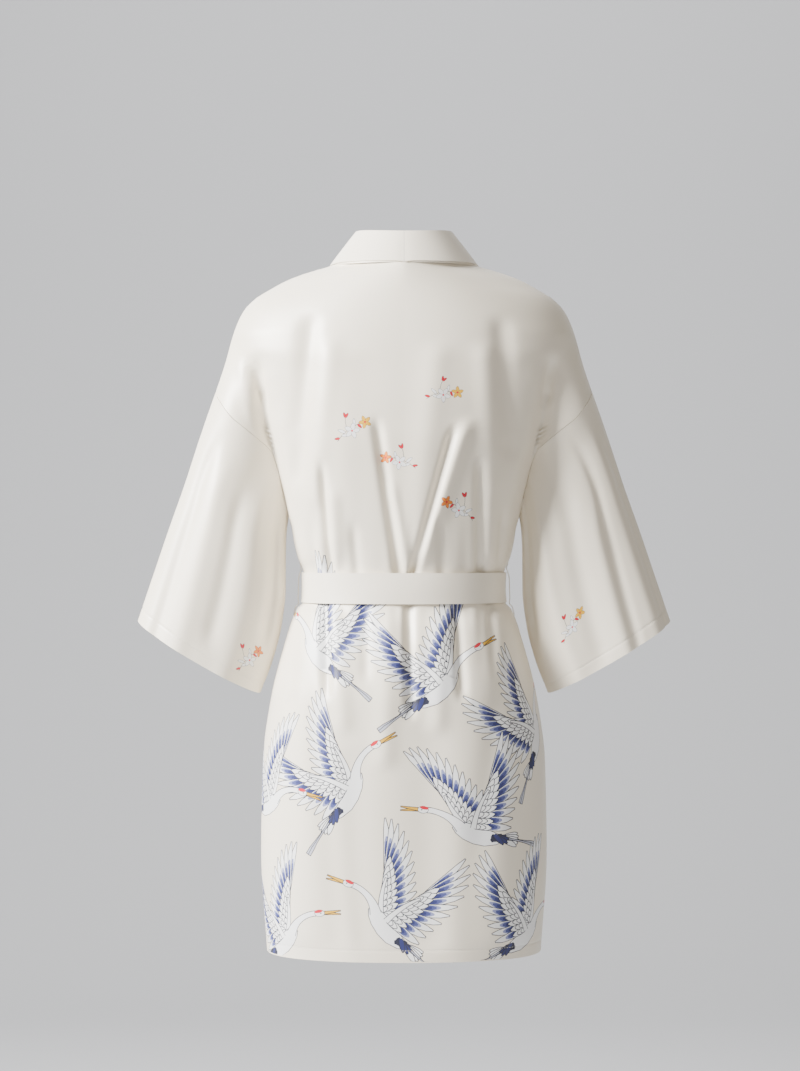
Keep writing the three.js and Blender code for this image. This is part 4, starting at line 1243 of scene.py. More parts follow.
@dataclass
class Belt:
    """The belt round the waist, its knot, its free ends and its side loops."""

    clear: float = 0.8
    front_clear: float = 5.8
    wall: float = 2.0
    columns: int = 240
    rows: int = 12
    softness: float = 0.6
    knot_rings: int = 56
    knot_columns: int = 96
    knot_x: float = -6
    knot_y: float = -107
    knot_z: float = -384
    knot_width: float = 25
    knot_depth: float = 12.6
    knot_height: float = 22
    knot_power: float = 0.86
    wrap_lean: float = -58
    wrap_half: float = 0.46
    wrap_edge: float = 0.1
    side_drop: float = 0.26
    side_pleat: float = 0.05
    wrap_pleat: float = 0.035
    tail_wall: float = 2.0
    tail_top: float = -406.1
    tail_half: float = 18
    tail_rows: int = 61
    tail_columns: int = 13
    tail_row_spread: float = 1.3
    tail_wave: float = 0.5
    loop_top: float = -355
    loop_bottom: float = -417
    loop_rows: int = 40
    loop_columns: int = 5
    loop_half: float = 2.0
    loop_wall: float = 1.0
    loop_rounding: float = 0.3
    tail: Table = Table(("s", "x", "out", "half", "bow"), (
        (0, 0, 17.5, 10, 0), (0.06, 2, 15.5, 12, 1), (0.14, 5, 11.5, 15, 2), (0.3, 9, 8.5, 17.5, 1.5),
        (0.6, 15, 8, 18, 1), (1, 20, 8.5, 18, 0.5),
    ))
    loop: Table = Table(("z", "out"), (
        (-355, 0.95), (-361, 2.2), (-366, 5), (-373, 7.4), (-386, 8.2), (-396, 8), (-405, 5), (-411, 2.4),
        (-417, 1.1),
    ))

    def band(self) -> tuple[bpy.types.Object, ClothGrid]:
        """The closed band with a little softness along its edges."""
        rows = []
        heights = np.linspace(FORM.belt_top, FORM.belt_bottom, self.rows + 1)
        turn = 2 * np.pi * np.arange(self.columns) / self.columns
        cos, sin = np.cos(turn), np.sin(turn)
        for z in heights:
            half = FORM.torso_half(float(z))
            front, back = FORM.front, FORM.back
            y0 = np.where(sin > 0, front.at("y", z), back.at("y", z))
            n = np.where(sin > 0, front.at("n", z), back.at("n", z))
            x = half * np.sign(cos) * np.abs(cos) ** (2 / n)
            y = y0 * np.abs(sin) ** (2 / n)
            nx = np.sign(x) * (np.abs(x) / half) ** (n - 1) / half
            ny = (y / y0) ** (n - 1) / y0
            length = np.hypot(nx, ny)
            step = smooth((FORM.lap_from - np.abs(x) / half) / FORM.lap_span)
            out = np.where(sin > 0, mix(self.clear, self.front_clear, step), self.clear)
            share = (FORM.belt_top - z) / (FORM.belt_top - FORM.belt_bottom)
            uneven = 1 + 0.6 * np.sin(3 * turn + 1) + 0.4 * np.sin(7 * turn)
            out = out + self.softness * math.sin(math.pi * share) * uneven
            rows.append(np.stack([x + nx / length * out, np.where(sin > 0, -1, 1) * (y + ny / length * out),
                                  np.full_like(x, z)], axis=1))
        points = np.stack(rows)
        lengths = np.linalg.norm(np.diff(points, axis=1), axis=2)
        across = np.concatenate([np.zeros((len(points), 1)), np.cumsum(lengths, axis=1)], axis=1)
        grid = ClothGrid(points, across, heights, closed=True)
        wall = MeshMaker.wall(points, grid.normals, self.wall, 0.0, True)
        return wall.build("belt_cloth", grid), grid

    def knot(self) -> bpy.types.Object:
        """The rounded knot: one end wraps slantwise over the other, in soft pleats."""
        rings, columns = self.knot_rings, self.knot_columns
        rise = np.linspace(0, np.pi, rings + 1)[1:-1][:, None]
        turn = (2 * np.pi * np.arange(columns) / columns)[None]

        def shaped(value: Array) -> Array:
            """A sine or cosine, made fuller by the knot's power."""
            return np.sign(value) * np.abs(value) ** self.knot_power

        x = shaped(np.cos(turn)) * np.sin(rise) ** self.knot_power
        y = -shaped(np.sin(turn)) * np.sin(rise) ** self.knot_power
        z = shaped(np.cos(rise)) * np.ones_like(turn)
        lean = math.radians(self.wrap_lean)
        over = z * math.cos(lean) - x * math.sin(lean)
        along = z * math.sin(lean) + x * math.cos(lean)
        wrapped = smooth((self.wrap_half - np.abs(over)) / self.wrap_edge)
        pleats = np.cos(15 * over + 1.6 * along) * (0.5 + 0.5 * np.cos(1.8 * along))
        sides = np.cos(9 * z + 3.5 * np.abs(x)) * np.abs(x)
        hollow = mix(self.side_drop + self.side_pleat * sides, self.wrap_pleat * pleats, wrapped)
        front = smooth(-1.6 * y)
        keep = 1 - hollow * front
        points = np.stack([self.knot_x + self.knot_width * x, self.knot_y + self.knot_depth * y * keep,
                           self.knot_z + self.knot_height * z], axis=-1).reshape(-1, 3)
        top = np.array([[self.knot_x, self.knot_y, self.knot_z + self.knot_height]])
        foot = np.array([[self.knot_x, self.knot_y, self.knot_z - self.knot_height]])
        index = np.arange(len(points)).reshape(rings - 1, columns)
        after = np.roll(index, -1, axis=1)
        faces = np.stack([index[:-1], after[:-1], after[1:], index[1:]], axis=-1).reshape(-1, 4).tolist()
        apex, base = len(points), len(points) + 1
        faces += [[apex, b, a] for a, b in zip(index[0].tolist(), after[0].tolist())]
        faces += [[base, a, b] for a, b in zip(index[-1].tolist(), after[-1].tolist())]
        mesh = bpy.data.meshes.new("belt_knot_cloth")
        mesh.from_pydata((np.concatenate([points, top, foot]) * MM).tolist(), [], faces)
        mesh.polygons.foreach_set("use_smooth", np.ones(len(mesh.polygons), dtype=bool))
        mesh.update()
        obj = bpy.data.objects.new("belt_knot_cloth", mesh)
        bpy.context.scene.collection.objects.link(obj)
        return obj

    def free_end(self, side: Side, x: float, bottom: float) -> tuple[bpy.types.Object, ClothGrid]:
        """One hanging end of the belt."""
        rows = []
        shares = np.linspace(0, 1, self.tail_rows) ** self.tail_row_spread
        across = np.linspace(1, -1, self.tail_columns)
        for s in shares:
            z = mix(self.tail_top, bottom, float(s))
            centre = x + side.value * float(self.tail.at("x", s))
            half = float(self.tail.at("half", s))
            bow = float(self.tail.at("bow", s)) * (1 - across**2)
            wave = self.tail_wave * np.sin(9 * s + 2 * across + side.value) * smooth(6 * s)
            out = float(self.tail.at("out", s)) + bow + wave
            rows.append(front_point(centre + half * across, np.full_like(across, z), out))
        points = np.stack(rows)
        flat = np.broadcast_to(self.tail_half * across, points.shape[:2])
        grid = ClothGrid(points, -flat.copy(), mix(self.tail_top, bottom, shares))
        wall = MeshMaker.wall(points, grid.normals, 0.0, self.tail_wall, False)
        return wall.build(f"belt_end_{side.name.lower()}", grid), grid

    def side_loop(self, side: Side) -> bpy.types.Object:
        """One thin loop at a side seam."""
        z = np.linspace(self.loop_top, self.loop_bottom, self.loop_rows)
        x = FORM.torso.at("x", z) + self.loop.at("out", z)
        across = np.linspace(self.loop_half, -self.loop_half, self.loop_columns)
        sign = side.value
        lines = [np.stack([sign * x, np.full_like(x, sign * y), z], axis=1) for y in across]
        points = np.stack(lines, axis=1)
        grid = ClothGrid(points, np.broadcast_to(-across, points.shape[:2]).copy(), z)
        round_off = self.loop_rounding * (1 - (across / self.loop_half) ** 2)
        wall = MeshMaker.wall(points, grid.normals, round_off - self.loop_rounding, self.loop_wall, False)
        return wall.build(f"belt_carrier_{side.name.lower()}", grid)


@dataclass(frozen=True)
class Stitches:
    """Rows of thread stitches along lines on the cloth, made by one Geometry Nodes tree."""

    pitch: float = 3.4
    length: float = 2.5
    thread: float = 0.5
    lift: float = 0.1

    def tree(self, material: bpy.types.Material) -> tuple[bpy.types.NodeTree, dict[str, str]]:
        """Builds the tree.

        Args:
            material: the thread's material.

        Returns:
            The tree and the identifiers of its named inputs.
        """
        tree = bpy.data.node_groups.new("stitch rows", "GeometryNodeTree")
        sockets = tree.interface
        sockets.new_socket("Geometry", in_out="INPUT", socket_type="NodeSocketGeometry")
        sockets.new_socket("Geometry", in_out="OUTPUT", socket_type="NodeSocketGeometry")
        names = {name: sockets.new_socket(name, in_out="INPUT", socket_type="NodeSocketFloat").identifier
                 for name in ("Pitch", "Length", "Thread")}
        kinds = ("NodeGroupInput", "GeometryNodeMeshToCurve", "GeometryNodeResampleCurve",
                 "GeometryNodeInputTangent", "FunctionNodeAlignRotationToVector", "GeometryNodeMeshUVSphere",
                 "ShaderNodeCombineXYZ", "GeometryNodeInstanceOnPoints", "GeometryNodeRealizeInstances",
                 "GeometryNodeSetMaterial", "NodeGroupOutput")
        given, curve, resample, tangent, align, ball, size, place, real, coat, out = (
            tree.nodes.new(kind) for kind in kinds)
        resample.mode = "LENGTH"
        align.axis = "Z"
        ball.inputs["Segments"].default_value = 6
        ball.inputs["Rings"].default_value = 4
        ball.inputs["Radius"].default_value = 0.5
        coat.inputs["Material"].default_value = material
        links = (
            (given.outputs["Geometry"], curve.inputs["Mesh"]),
            (curve.outputs["Curve"], resample.inputs["Curve"]),
            (given.outputs["Pitch"], resample.inputs["Length"]),
            (tangent.outputs["Tangent"], align.inputs["Vector"]),
            (given.outputs["Thread"], size.inputs["X"]),
            (given.outputs["Thread"], size.inputs["Y"]),
            (given.outputs["Length"], size.inputs["Z"]),
            (resample.outputs["Curve"], place.inputs["Points"]),
            (ball.outputs["Mesh"], place.inputs["Instance"]),
            (align.outputs["Rotation"], place.inputs["Rotation"]),
            (size.outputs["Vector"], place.inputs["Scale"]),
            (place.outputs["Instances"], real.inputs["Geometry"]),
            (real.outputs["Geometry"], coat.inputs["Geometry"]),
            (coat.outputs["Geometry"], out.inputs["Geometry"]),
        )
        for start, end in links:
            tree.links.new(start, end)
        return tree, names

    def build(self, name: str, lines: Sequence[Array], material: bpy.types.Material) -> bpy.types.Object:
        """Makes the stitches of one or more lines as a plain mesh.

        Args:
            name: the object's name.
            lines: points of each line, in millimetres.
            material: the thread's material.

        Returns:
            The linked object.
        """
        edges, first = [], 0
        for line in lines:
            edges += [(first + k, first + k + 1) for k in range(len(line) - 1)]
            first += len(line)
        mesh = bpy.data.meshes.new(f"{name} lines")
        mesh.from_pydata((np.concatenate(list(lines)) * MM).tolist(), edges, [])
        obj = bpy.data.objects.new(name, mesh)
        bpy.context.scene.collection.objects.link(obj)
        tree, names = self.tree(material)
        modifier = obj.modifiers.new("stitches", "NODES")
        modifier.node_group = tree
        for key, size in (("Pitch", self.pitch), ("Length", self.length), ("Thread", self.thread)):
            modifier[names[key]] = size * MM
        graph = bpy.context.evaluated_depsgraph_get()
        plain = bpy.data.meshes.new_from_object(obj.evaluated_get(graph), depsgraph=graph)
        obj.modifiers.clear()
        obj.data = plain
        plain.polygons.foreach_set("use_smooth", np.ones(len(plain.polygons), dtype=bool))
        return obj

    def line(self, grid: ClothGrid, height: float) -> Array:
        """The line along a panel's row at a height, a little above the cloth."""
        row = int(np.argmin(np.abs(grid.heights - height)))
        points = grid.points[row] + self.lift * grid.normals[row]
        return np.concatenate([points, points[:1]]) if grid.closed else points[1:-1]


@dataclass(frozen=True)
class Cut:
    """A flat cut of cloth: width, length and area, in metres."""

    width: float
    length: float
    area: float

    def declare(self, obj: bpy.types.Object, grid: ClothGrid, held: str, others: Sequence = (),
                rests_on: Sequence = ()) -> None:
        """Logs a piece's width, length and area as worn, measured on its outer face.

        Args:
            obj: the piece.
            grid: its outer face.
            held: how it is held; not used.
            others: the separate pieces on it; not used.
            rests_on: what it hangs from or lies on; not used.
        """
        wide = (grid.across.max() - grid.across.min()) * MM
        middle = grid.points[:, grid.points.shape[1] // 2]
        long = np.linalg.norm(np.diff(middle, axis=0), axis=1).sum() * MM
        grown = np.concatenate([grid.points, grid.points[:, :1]], axis=1) if grid.closed else grid.points
        down, over = grown[1:, :-1] - grown[:-1, :-1], grown[:-1, 1:] - grown[:-1, :-1]
        area = np.linalg.norm(np.cross(down, over), axis=2).sum() * MM * MM
        log.info("%s as worn: %.3f by %.3f m, %.4f m2", obj.name, wide, long, area)


class Signal:
    """A value in a shader, with the usual arithmetic made of Math nodes."""

    def __init__(self, tree: bpy.types.NodeTree, socket: bpy.types.NodeSocket | float) -> None:
        """Keeps a socket or a number with its tree."""
        self.tree = tree
        self.socket = socket

    def _put(self, value: "Signal | float", slot: bpy.types.NodeSocket) -> None:
        """Links a signal to an input, or sets the number there."""
        if isinstance(value, Signal) and not isinstance(value.socket, (int, float)):
            self.tree.links.new(value.socket, slot)
        else:
            slot.default_value = value.socket if isinstance(value, Signal) else value

    def _math(self, operation: str, a: "Signal | float", b: "Signal | float") -> "Signal":
        """Adds a Math node for two values."""
        node = self.tree.nodes.new("ShaderNodeMath")
        node.operation = operation
        self._put(a, node.inputs[0])
        self._put(b, node.inputs[1])
        return Signal(self.tree, node.outputs[0])

    def node(self, kind: str, output: str, settings: dict | None = None, **inputs: object) -> "Signal":
        """Adds any other node.

        Args:
            kind: the node's type.
            output: the name of the output to read.
            settings: attributes of the node.
            inputs: values or signals by input name, with _ for a space.

        Returns:
            The chosen output.
        """
        node = self.tree.nodes.new(kind)
        for key, value in (settings or {}).items():
            setattr(node, key, value)
        for key, value in inputs.items():
            self._put(value, node.inputs[key.replace("_", " ")])
        return Signal(self.tree, node.outputs[output])

    def __add__(self, other: "Signal | float") -> "Signal":
        """Sum."""
        return self._math("ADD", self, other)

    def __radd__(self, other: float) -> "Signal":
        """Sum with a number on the left."""
        return self._math("ADD", other, self)

    def __sub__(self, other: "Signal | float") -> "Signal":
        """Difference."""
        return self._math("SUBTRACT", self, other)

    def __rsub__(self, other: float) -> "Signal":
        """Difference from a number."""
        return self._math("SUBTRACT", other, self)

    def __mul__(self, other: "Signal | float") -> "Signal":
        """Product."""
        return self._math("MULTIPLY", self, other)

    def __rmul__(self, other: float) -> "Signal":
        """Product with a number on the left."""
        return self._math("MULTIPLY", other, self)

    def __truediv__(self, other: "Signal | float") -> "Signal":
        """Quotient."""
        return self._math("DIVIDE", self, other)

    def __rtruediv__(self, other: float) -> "Signal":
        """A number divided by this value."""
        return self._math("DIVIDE", other, self)

    def __pow__(self, other: "Signal | float") -> "Signal":
        """Power."""
        return self._math("POWER", self, other)

    def __rpow__(self, other: float) -> "Signal":
        """A number raised to this value."""
        return self._math("POWER", other, self)

    def __neg__(self) -> "Signal":
        """The value with its sign turned."""
        return self._math("MULTIPLY", self, -1.0)


@dataclass(frozen=True)
class SatinFinish:
    """Ivory satin: a soft gloss on an even, very fine weave."""

    name: str
    colour: tuple[float, float, float] = (0.85, 0.785, 0.665)
    shade: tuple[float, float, float] = (0.8, 0.725, 0.59)
    roughness: float = 0.42
    specular: float = 0.85
    sheen: float = 0.06
    thread: float = 1500.0
    bump: float = 0.12

    def material(self) -> bpy.types.Material:
        """Builds the material."""
        made = bpy.data.materials.new(self.name)
        made.use_nodes = True
        tree = made.node_tree
        shader = tree.nodes["Principled BSDF"]
        start = Signal(tree, 0.0)
        where = start.node("ShaderNodeTexCoord", "Object")
        cloud = start.node("ShaderNodeTexNoise", "Fac", Vector=where, Scale=5.5, Detail=2.0)
        weave = start.node("ShaderNodeTexNoise", "Fac", Vector=where, Scale=self.thread, Detail=1.0)
        mixer = tree.nodes.new("ShaderNodeMix")
        mixer.data_type = "RGBA"
        mixer.inputs[6].default_value = (*self.colour, 1)
        mixer.inputs[7].default_value = (*self.shade, 1)
        tree.links.new((cloud * 0.9 + weave * 0.1).socket, mixer.inputs[0])
        tree.links.new(mixer.outputs[2], shader.inputs["Base Color"])
        tree.links.new((cloud * 0.08 + (self.roughness - 0.04)).socket, shader.inputs["Roughness"])
        bump = start.node("ShaderNodeBump", "Normal", Height=weave, Strength=self.bump, Distance=0.0002)
        tree.links.new(bump.socket, shader.inputs["Normal"])
        shader.inputs["Specular IOR Level"].default_value = self.specular
        shader.inputs["Sheen Weight"].default_value = self.sheen
        shader.inputs["Sheen Roughness"].default_value = 0.45
        return made


@dataclass(frozen=True)
class PlainFinish:
    """One flat colour."""

    name: str
    colour: tuple[float, float, float]
    roughness: float = 0.5

    def material(self) -> bpy.types.Material:
        """Builds the material."""
        made = bpy.data.materials.new(self.name)
        made.use_nodes = True
        shader = made.node_tree.nodes["Principled BSDF"]
        shader.inputs["Base Color"].default_value = (*self.colour, 1)
        shader.inputs["Roughness"].default_value = self.roughness
        return made


BACK_FOLDS = (
    Fold(108, -56, 130, -272, 12, -4.6),
    Fold(84, -84, 106, -300, 13, 3),
    Fold(-112, -60, -128, -240, 12, -3.6),
    Fold(-92, -90, -104, -280, 13, 2.4),
    Fold(196, -96, 176, -210, 8, 2),
    Fold(176, -104, 146, -288, 7, -5.5),
    Fold(-176, -104, -146, -288, 7, -5.5),
    Fold(158, -112, 132, -300, 12, 2.6),
    Fold(-158, -112, -132, -300, 12, 2.6),
    Fold(-40, -90, -12, -350, 17, 2.2),
    Fold(74, -96, 78, -350, 22, 2.4),
    Fold(34, -180, 3, -388, 6, -5.4),
    Fold(18, -250, -4, -366, 7, 2.2),
    Fold(-60, -188, -4, -388, 5.5, -5.8),
    Fold(-76, -180, -16, -366, 11, 4.8),
    Fold(96, -230, 85, -388, 5, -5.4),
    Fold(84, -260, 76, -366, 9, 2.8),
    Fold(-88, -225, -89, -388, 5.5, -5.2),
    Fold(-102, -250, -100, -366, 8, 2.6),
    Fold(-118, -286, -112, -388, 5.5, -3.8),
    Fold(60, -300, 54, -388, 6, -2.4),
    Fold(-40, -290, -46, -388, 6, -2.2),
    Fold(112, -300, 104, -388, 6, -2.6),
    Fold(96, -380, 90, -520, 6.5, -5.8),
    Fold(78, -402, 70, -560, 12, 3),
    Fold(-4, -380, -8, -540, 6, -5.6),
    Fold(16, -402, 24, -600, 14, 2.8),
    Fold(-60, -380, -68, -520, 6, -5.4),
    Fold(-42, -402, -38, -560, 12, 2.6),
    Fold(-98, -380, -112, -500, 7, -4.2),
    Fold(46, -380, 44, -500, 7, -2.2),
    Fold(120, -404, 138, -540, 9, -3),
    Fold(-30, -440, -28, -812, 26, -2.5),
    Fold(104, -480, 118, -812, 30, 2.5),
    Fold(-112, -460, -120, -812, 28, 2.5),
    Fold(56, -560, 62, -812, 22, -2),
)
LEFT_FRONT_FOLDS = (
    Fold(120, -90, 96, -240, 14, -3.4),
    Fold(176, -104, 146, -288, 7, -5.5),
    Fold(158, -112, 132, -300, 12, 2.6),
    Fold(104, -230, 84, -388, 7, -4.4),
    Fold(90, -240, 70, -366, 10, 2.6),
    Fold(62, -260, 50, -366, 7, -3.2),
    Fold(112, -300, 104, -388, 6, -2.6),
    Fold(92, -380, 100, -520, 8, -4.4),
    Fold(72, -402, 84, -560, 12, 2.6),
    Fold(58, -430, 64, -560, 14, 2.2),
    Fold(30, -402, 34, -500, 8, -2.4),
    Fold(124, -404, 140, -540, 9, -3),
    Fold(110, -500, 122, -812, 28, 2.5),
    Fold(50, -560, 52, -812, 24, -2),
)
RIGHT_FRONT_FOLDS = (
    Fold(118, -90, 100, -230, 14, -3.4),
    Fold(176, -104, 146, -288, 7, -5.5),
    Fold(158, -112, 132, -300, 12, 2.6),
    Fold(100, -240, 90, -388, 7, -4.2),
    Fold(84, -250, 76, -366, 10, 2.4),
    Fold(112, -300, 106, -388, 6, -2.6),
    Fold(90, -380, 98, -530, 8, -4.2),
    Fold(106, -402, 116, -560, 10, 2.4),
    Fold(124, -404, 138, -520, 8, -2.8),
    Fold(112, -490, 120, -812, 28, 2.5),
)
LEFT_SLEEVE_FOLDS = (
    SleeveFold(Face.BACK, 0.22, 0.26, 0.05, 1.1, 0.045, -3.5),
    SleeveFold(Face.BACK, 0.34, 0.4, 0.1, 1.1, 0.05, 2.6),
    SleeveFold(Face.BACK, 0.48, 0.52, 0.12, 0.9, 0.04, -3),
    SleeveFold(Face.BACK, 0.6, 0.64, 0.02, 1.1, 0.06, 3),
    SleeveFold(Face.BACK, 0.78, 0.8, 0.05, 0.75, 0.05, -4.5),
    SleeveFold(Face.FRONT, 0.3, 0.28, 0.1, 1, 0.05, -3.5),
    SleeveFold(Face.FRONT, 0.52, 0.48, 0.1, 0.9, 0.05, -3),
    SleeveFold(Face.FRONT, 0.64, 0.6, 0.2, 1.1, 0.08, 3),
    SleeveFold(Face.FRONT, 0.8, 0.8, 0.05, 0.7, 0.05, -4),
)
RIGHT_SLEEVE_FOLDS = (
    SleeveFold(Face.BACK, 0.12, 0.13, 0.1, 1.1, 0.035, -2.6),
    SleeveFold(Face.BACK, 0.22, 0.23, 0.05, 1.1, 0.05, 3.2),
    SleeveFold(Face.BACK, 0.3, 0.36, 0.02, 1.05, 0.028, -3.6),
    SleeveFold(Face.BACK, 0.38, 0.42, 0.3, 1.1, 0.035, 1.8),
    SleeveFold(Face.BACK, 0.5, 0.53, 0.06, 1.0, 0.055, -4.6),
    SleeveFold(Face.BACK, 0.7, 0.66, 0.02, 1.1, 0.05, 3.8),
    SleeveFold(Face.BACK, 0.84, 0.86, 0.02, 0.7, 0.05, -4.2),
    SleeveFold(Face.FRONT, 0.32, 0.36, 0.1, 1, 0.05, -3.5),
    SleeveFold(Face.FRONT, 0.5, 0.52, 0.1, 0.9, 0.05, -3),
    SleeveFold(Face.FRONT, 0.62, 0.64, 0.2, 1.1, 0.08, 3),
    SleeveFold(Face.FRONT, 0.8, 0.8, 0.05, 0.7, 0.05, -4),
)


def dress(
    obj: bpy.types.Object, materials: Sequence[bpy.types.Material], node: str
) -> bpy.types.Object:
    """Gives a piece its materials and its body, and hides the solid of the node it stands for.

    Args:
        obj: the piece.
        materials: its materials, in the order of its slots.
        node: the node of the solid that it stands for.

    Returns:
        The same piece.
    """
    for material in materials:
        obj.data.materials.append(material)
    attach(obj, BODY)
    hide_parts(node)
    log.info("built %s: %d faces", obj.name, len(obj.data.polygons))
    return obj


def sew(obj: bpy.types.Object) -> bpy.types.Object:
    """Gives a row of stitches its body."""
    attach(obj, BODY)
    log.info("sewn %s: %d faces", obj.name, len(obj.data.polygons))
    return obj


BACK_CUT = Cut(0.56, 0.86, 0.38)
FRONT_CUT = Cut(0.32, 0.9, 0.18)
SLEEVE_CUT = Cut(0.44, 0.29, 0.105)
COLLAR_CUT = Cut(0.05, 1.0, 0.05)
BELT_CUT = Cut(0.036, 0.7, 0.0252)
LEFT_END_CUT = Cut(0.036, 0.296, 0.0106)
RIGHT_END_CUT = Cut(0.036, 0.324, 0.0116)
FREE_ENDS = ((Side.LEFT, 5.2, -700, LEFT_END_CUT), (Side.RIGHT, -17.2, -728, RIGHT_END_CUT))


BACK_CRANES = (
    (Crane(near_wing=104, far_wing=60), Perch(104, -462, -34, 1.0, True)),
    (Crane(near_wing=112, far_wing=52, neck_bend=-50), Perch(-42, -500, 30, 1.04)),
    (Crane(near_wing=100, far_wing=60, neck_bend=-75), Perch(-176, -560, 62, 1.0)),
    (Crane(near_wing=112, far_wing=62), Perch(64, -622, 52, 1.04)),
    (Crane(near_wing=106, far_wing=48, neck_bend=-46), Perch(-84, -668, -8, 1.04, True)),
    (Crane(near_wing=116, far_wing=64), Perch(182, -640, 8, 1.0)),
    (Crane(near_wing=108, far_wing=58), Perch(22, -776, -40, 1.04, True)),
    (Crane(near_wing=104, far_wing=60, neck_bend=-70), Perch(-150, -792, 22, 1.0)),
    (Crane(near_wing=112, far_wing=60), Perch(150, -800, 28, 1.0)),
)
BACK_SPRAYS = (
    (Spray(warm=Ink.GOLD), Perch(62, -200, -12, 1.0)),
    (Spray(warm=Ink.ORANGE), Perch(4, -236, 28, 0.95, True)),
    (Spray(warm=Ink.GOLD), Perch(-44, -158, -36, 0.95)),
    (Spray(warm=Ink.ORANGE), Perch(-66, -292, 14, 1.0, True)),
)
LEFT_FRONT_CRANES = (
    (Crane(near_wing=108, far_wing=58), Perch(-66, -520, 26, 1.0)),
    (Crane(near_wing=104, far_wing=54, neck_bend=-50), Perch(-150, -622, -20, 1.0, True)),
    (Crane(near_wing=112, far_wing=60), Perch(-30, -690, 48, 1.0)),
    (Crane(near_wing=106, far_wing=56), Perch(-118, -786, -26, 1.0, True)),
)
LEFT_FRONT_SPRAYS = (
    (Spray(warm=Ink.GOLD), Perch(-108, -190, 10, 0.95)),
    (Spray(warm=Ink.ORANGE), Perch(-72, -292, -24, 0.9, True)),
)
RIGHT_FRONT_CRANES = (
    (Crane(near_wing=108, far_wing=58, neck_bend=-52), Perch(124, -512, -24, 1.0, True)),
    (Crane(near_wing=110, far_wing=60), Perch(150, -664, 40, 1.0)),
    (Crane(near_wing=104, far_wing=56), Perch(104, -790, 18, 1.0)),
)
RIGHT_FRONT_SPRAYS = (
    (Spray(warm=Ink.ORANGE), Perch(108, -226, 16, 0.95, True)),
    (Spray(warm=Ink.GOLD), Perch(162, -462, -30, 0.85)),
)
LEFT_SLEEVE_SPRAYS = ((Spray(warm=Ink.ORANGE), Perch(42, -214, 20, 1.0)),)
RIGHT_SLEEVE_SPRAYS = ((Spray(warm=Ink.GOLD), Perch(-70, -186, -14, 0.95)),)


def inked(cranes: Iterable[tuple[Crane, Perch]] = (), sprays: Iterable[tuple[Spray, Perch]] = ()) -> Print:
    """A panel's print from its cranes and flower sprays."""
    made = Print()
    made.cranes(cranes)
    made.sprays(sprays)
    return made


@dataclass
class Studio:
    """Camera, pale floor and soft light."""

    distance: float = 3.0
    height: float = -0.322
    aside: float = 0.0048
    half_tangent: float = 0.2142
    floor_z: float = -1.6
    sweep_y: float = -3.6
    sweep_radius: float = 2.4
    sweep_steps: int = 24
    floor_near: float = 7.0
    wall_top: float = 7.0
    half_width: float = 9.0

    def camera(self) -> None:
        """The camera behind the wearer, level, at the photo's distance."""
        data = bpy.data.cameras.new("camera")
        data.sensor_width = 36
        data.lens = 18 / self.half_tangent
        obj = bpy.data.objects.new("camera", data)
        obj.location = (self.aside, self.distance, self.height)
        obj.rotation_euler = (math.pi / 2, 0, math.pi)
        bpy.context.scene.collection.objects.link(obj)
        bpy.context.scene.camera = obj

    def light(self, name: str, place: tuple, aim: tuple, size: float, watts: float, colour: tuple) -> None:
        """One soft square light aimed at a point."""
        data = bpy.data.lights.new(name, "AREA")
        data.size = size
        data.energy = watts
        data.color = colour
        obj = bpy.data.objects.new(name, data)
        obj.location = place
        direction = Vector(aim) - Vector(place)
        obj.rotation_euler = direction.to_track_quat("-Z", "Y").to_euler()
        bpy.context.scene.collection.objects.link(obj)

    def build(self) -> None:
        """Sets up the studio."""
        self.camera()
        self.sweep()
        self.light("key", (2.7, 1.2, 1.25), (0, 0, -0.3), 1.5, 680, (1, 0.99, 0.97))
        self.light("fill", (-2.4, 1.8, 0.9), (0, 0, -0.2), 1.8, 16, (1, 0.92, 0.84))
        self.light("front", (0.6, -2.4, 0.9), (0, 0, -0.35), 2.0, 36, (1, 0.99, 0.98))
        self.light("backdrop", (0.0, -1.8, 3.6), (0, -5.6, -0.2), 3.0, 230, (1, 1, 1))
        world = bpy.data.worlds.new("studio")
        world.use_nodes = True
        world.node_tree.nodes["Background"].inputs["Color"].default_value = (0.63, 0.6, 0.55, 1)
        world.node_tree.nodes["Background"].inputs["Strength"].default_value = 0.44
        bpy.context.scene.world = world

    def sweep(self) -> None:
        """A pale floor that rises behind the robe in one curve, with no horizon line."""
        turn = np.linspace(0, np.pi / 2, self.sweep_steps)
        y = np.concatenate([[self.floor_near], self.sweep_y - self.sweep_radius * np.sin(turn)])
        z = np.concatenate([[self.floor_z], self.floor_z + self.sweep_radius * (1 - np.cos(turn))])
        y, z = np.append(y, y[-1]), np.append(z, self.wall_top)
        points = [(x, float(b), float(c)) for b, c in zip(y, z) for x in (-self.half_width, self.half_width)]
        faces = [(2 * k, 2 * k + 1, 2 * k + 3, 2 * k + 2) for k in range(len(y) - 1)]
        mesh = bpy.data.meshes.new("floor")
        mesh.from_pydata(points, [], faces)
        mesh.polygons.foreach_set("use_smooth", np.ones(len(faces), dtype=bool))
        floor = bpy.data.objects.new("floor", mesh)
        bpy.context.scene.collection.objects.link(floor)
        mesh.materials.append(PlainFinish("pale floor", (0.5, 0.507, 0.527), 0.9).material())
        floor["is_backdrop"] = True


def save_bounds(stage: str, store: dict[str, list]) -> None:
    lo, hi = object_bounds()
    store[stage] = [list(lo), list(hi)]


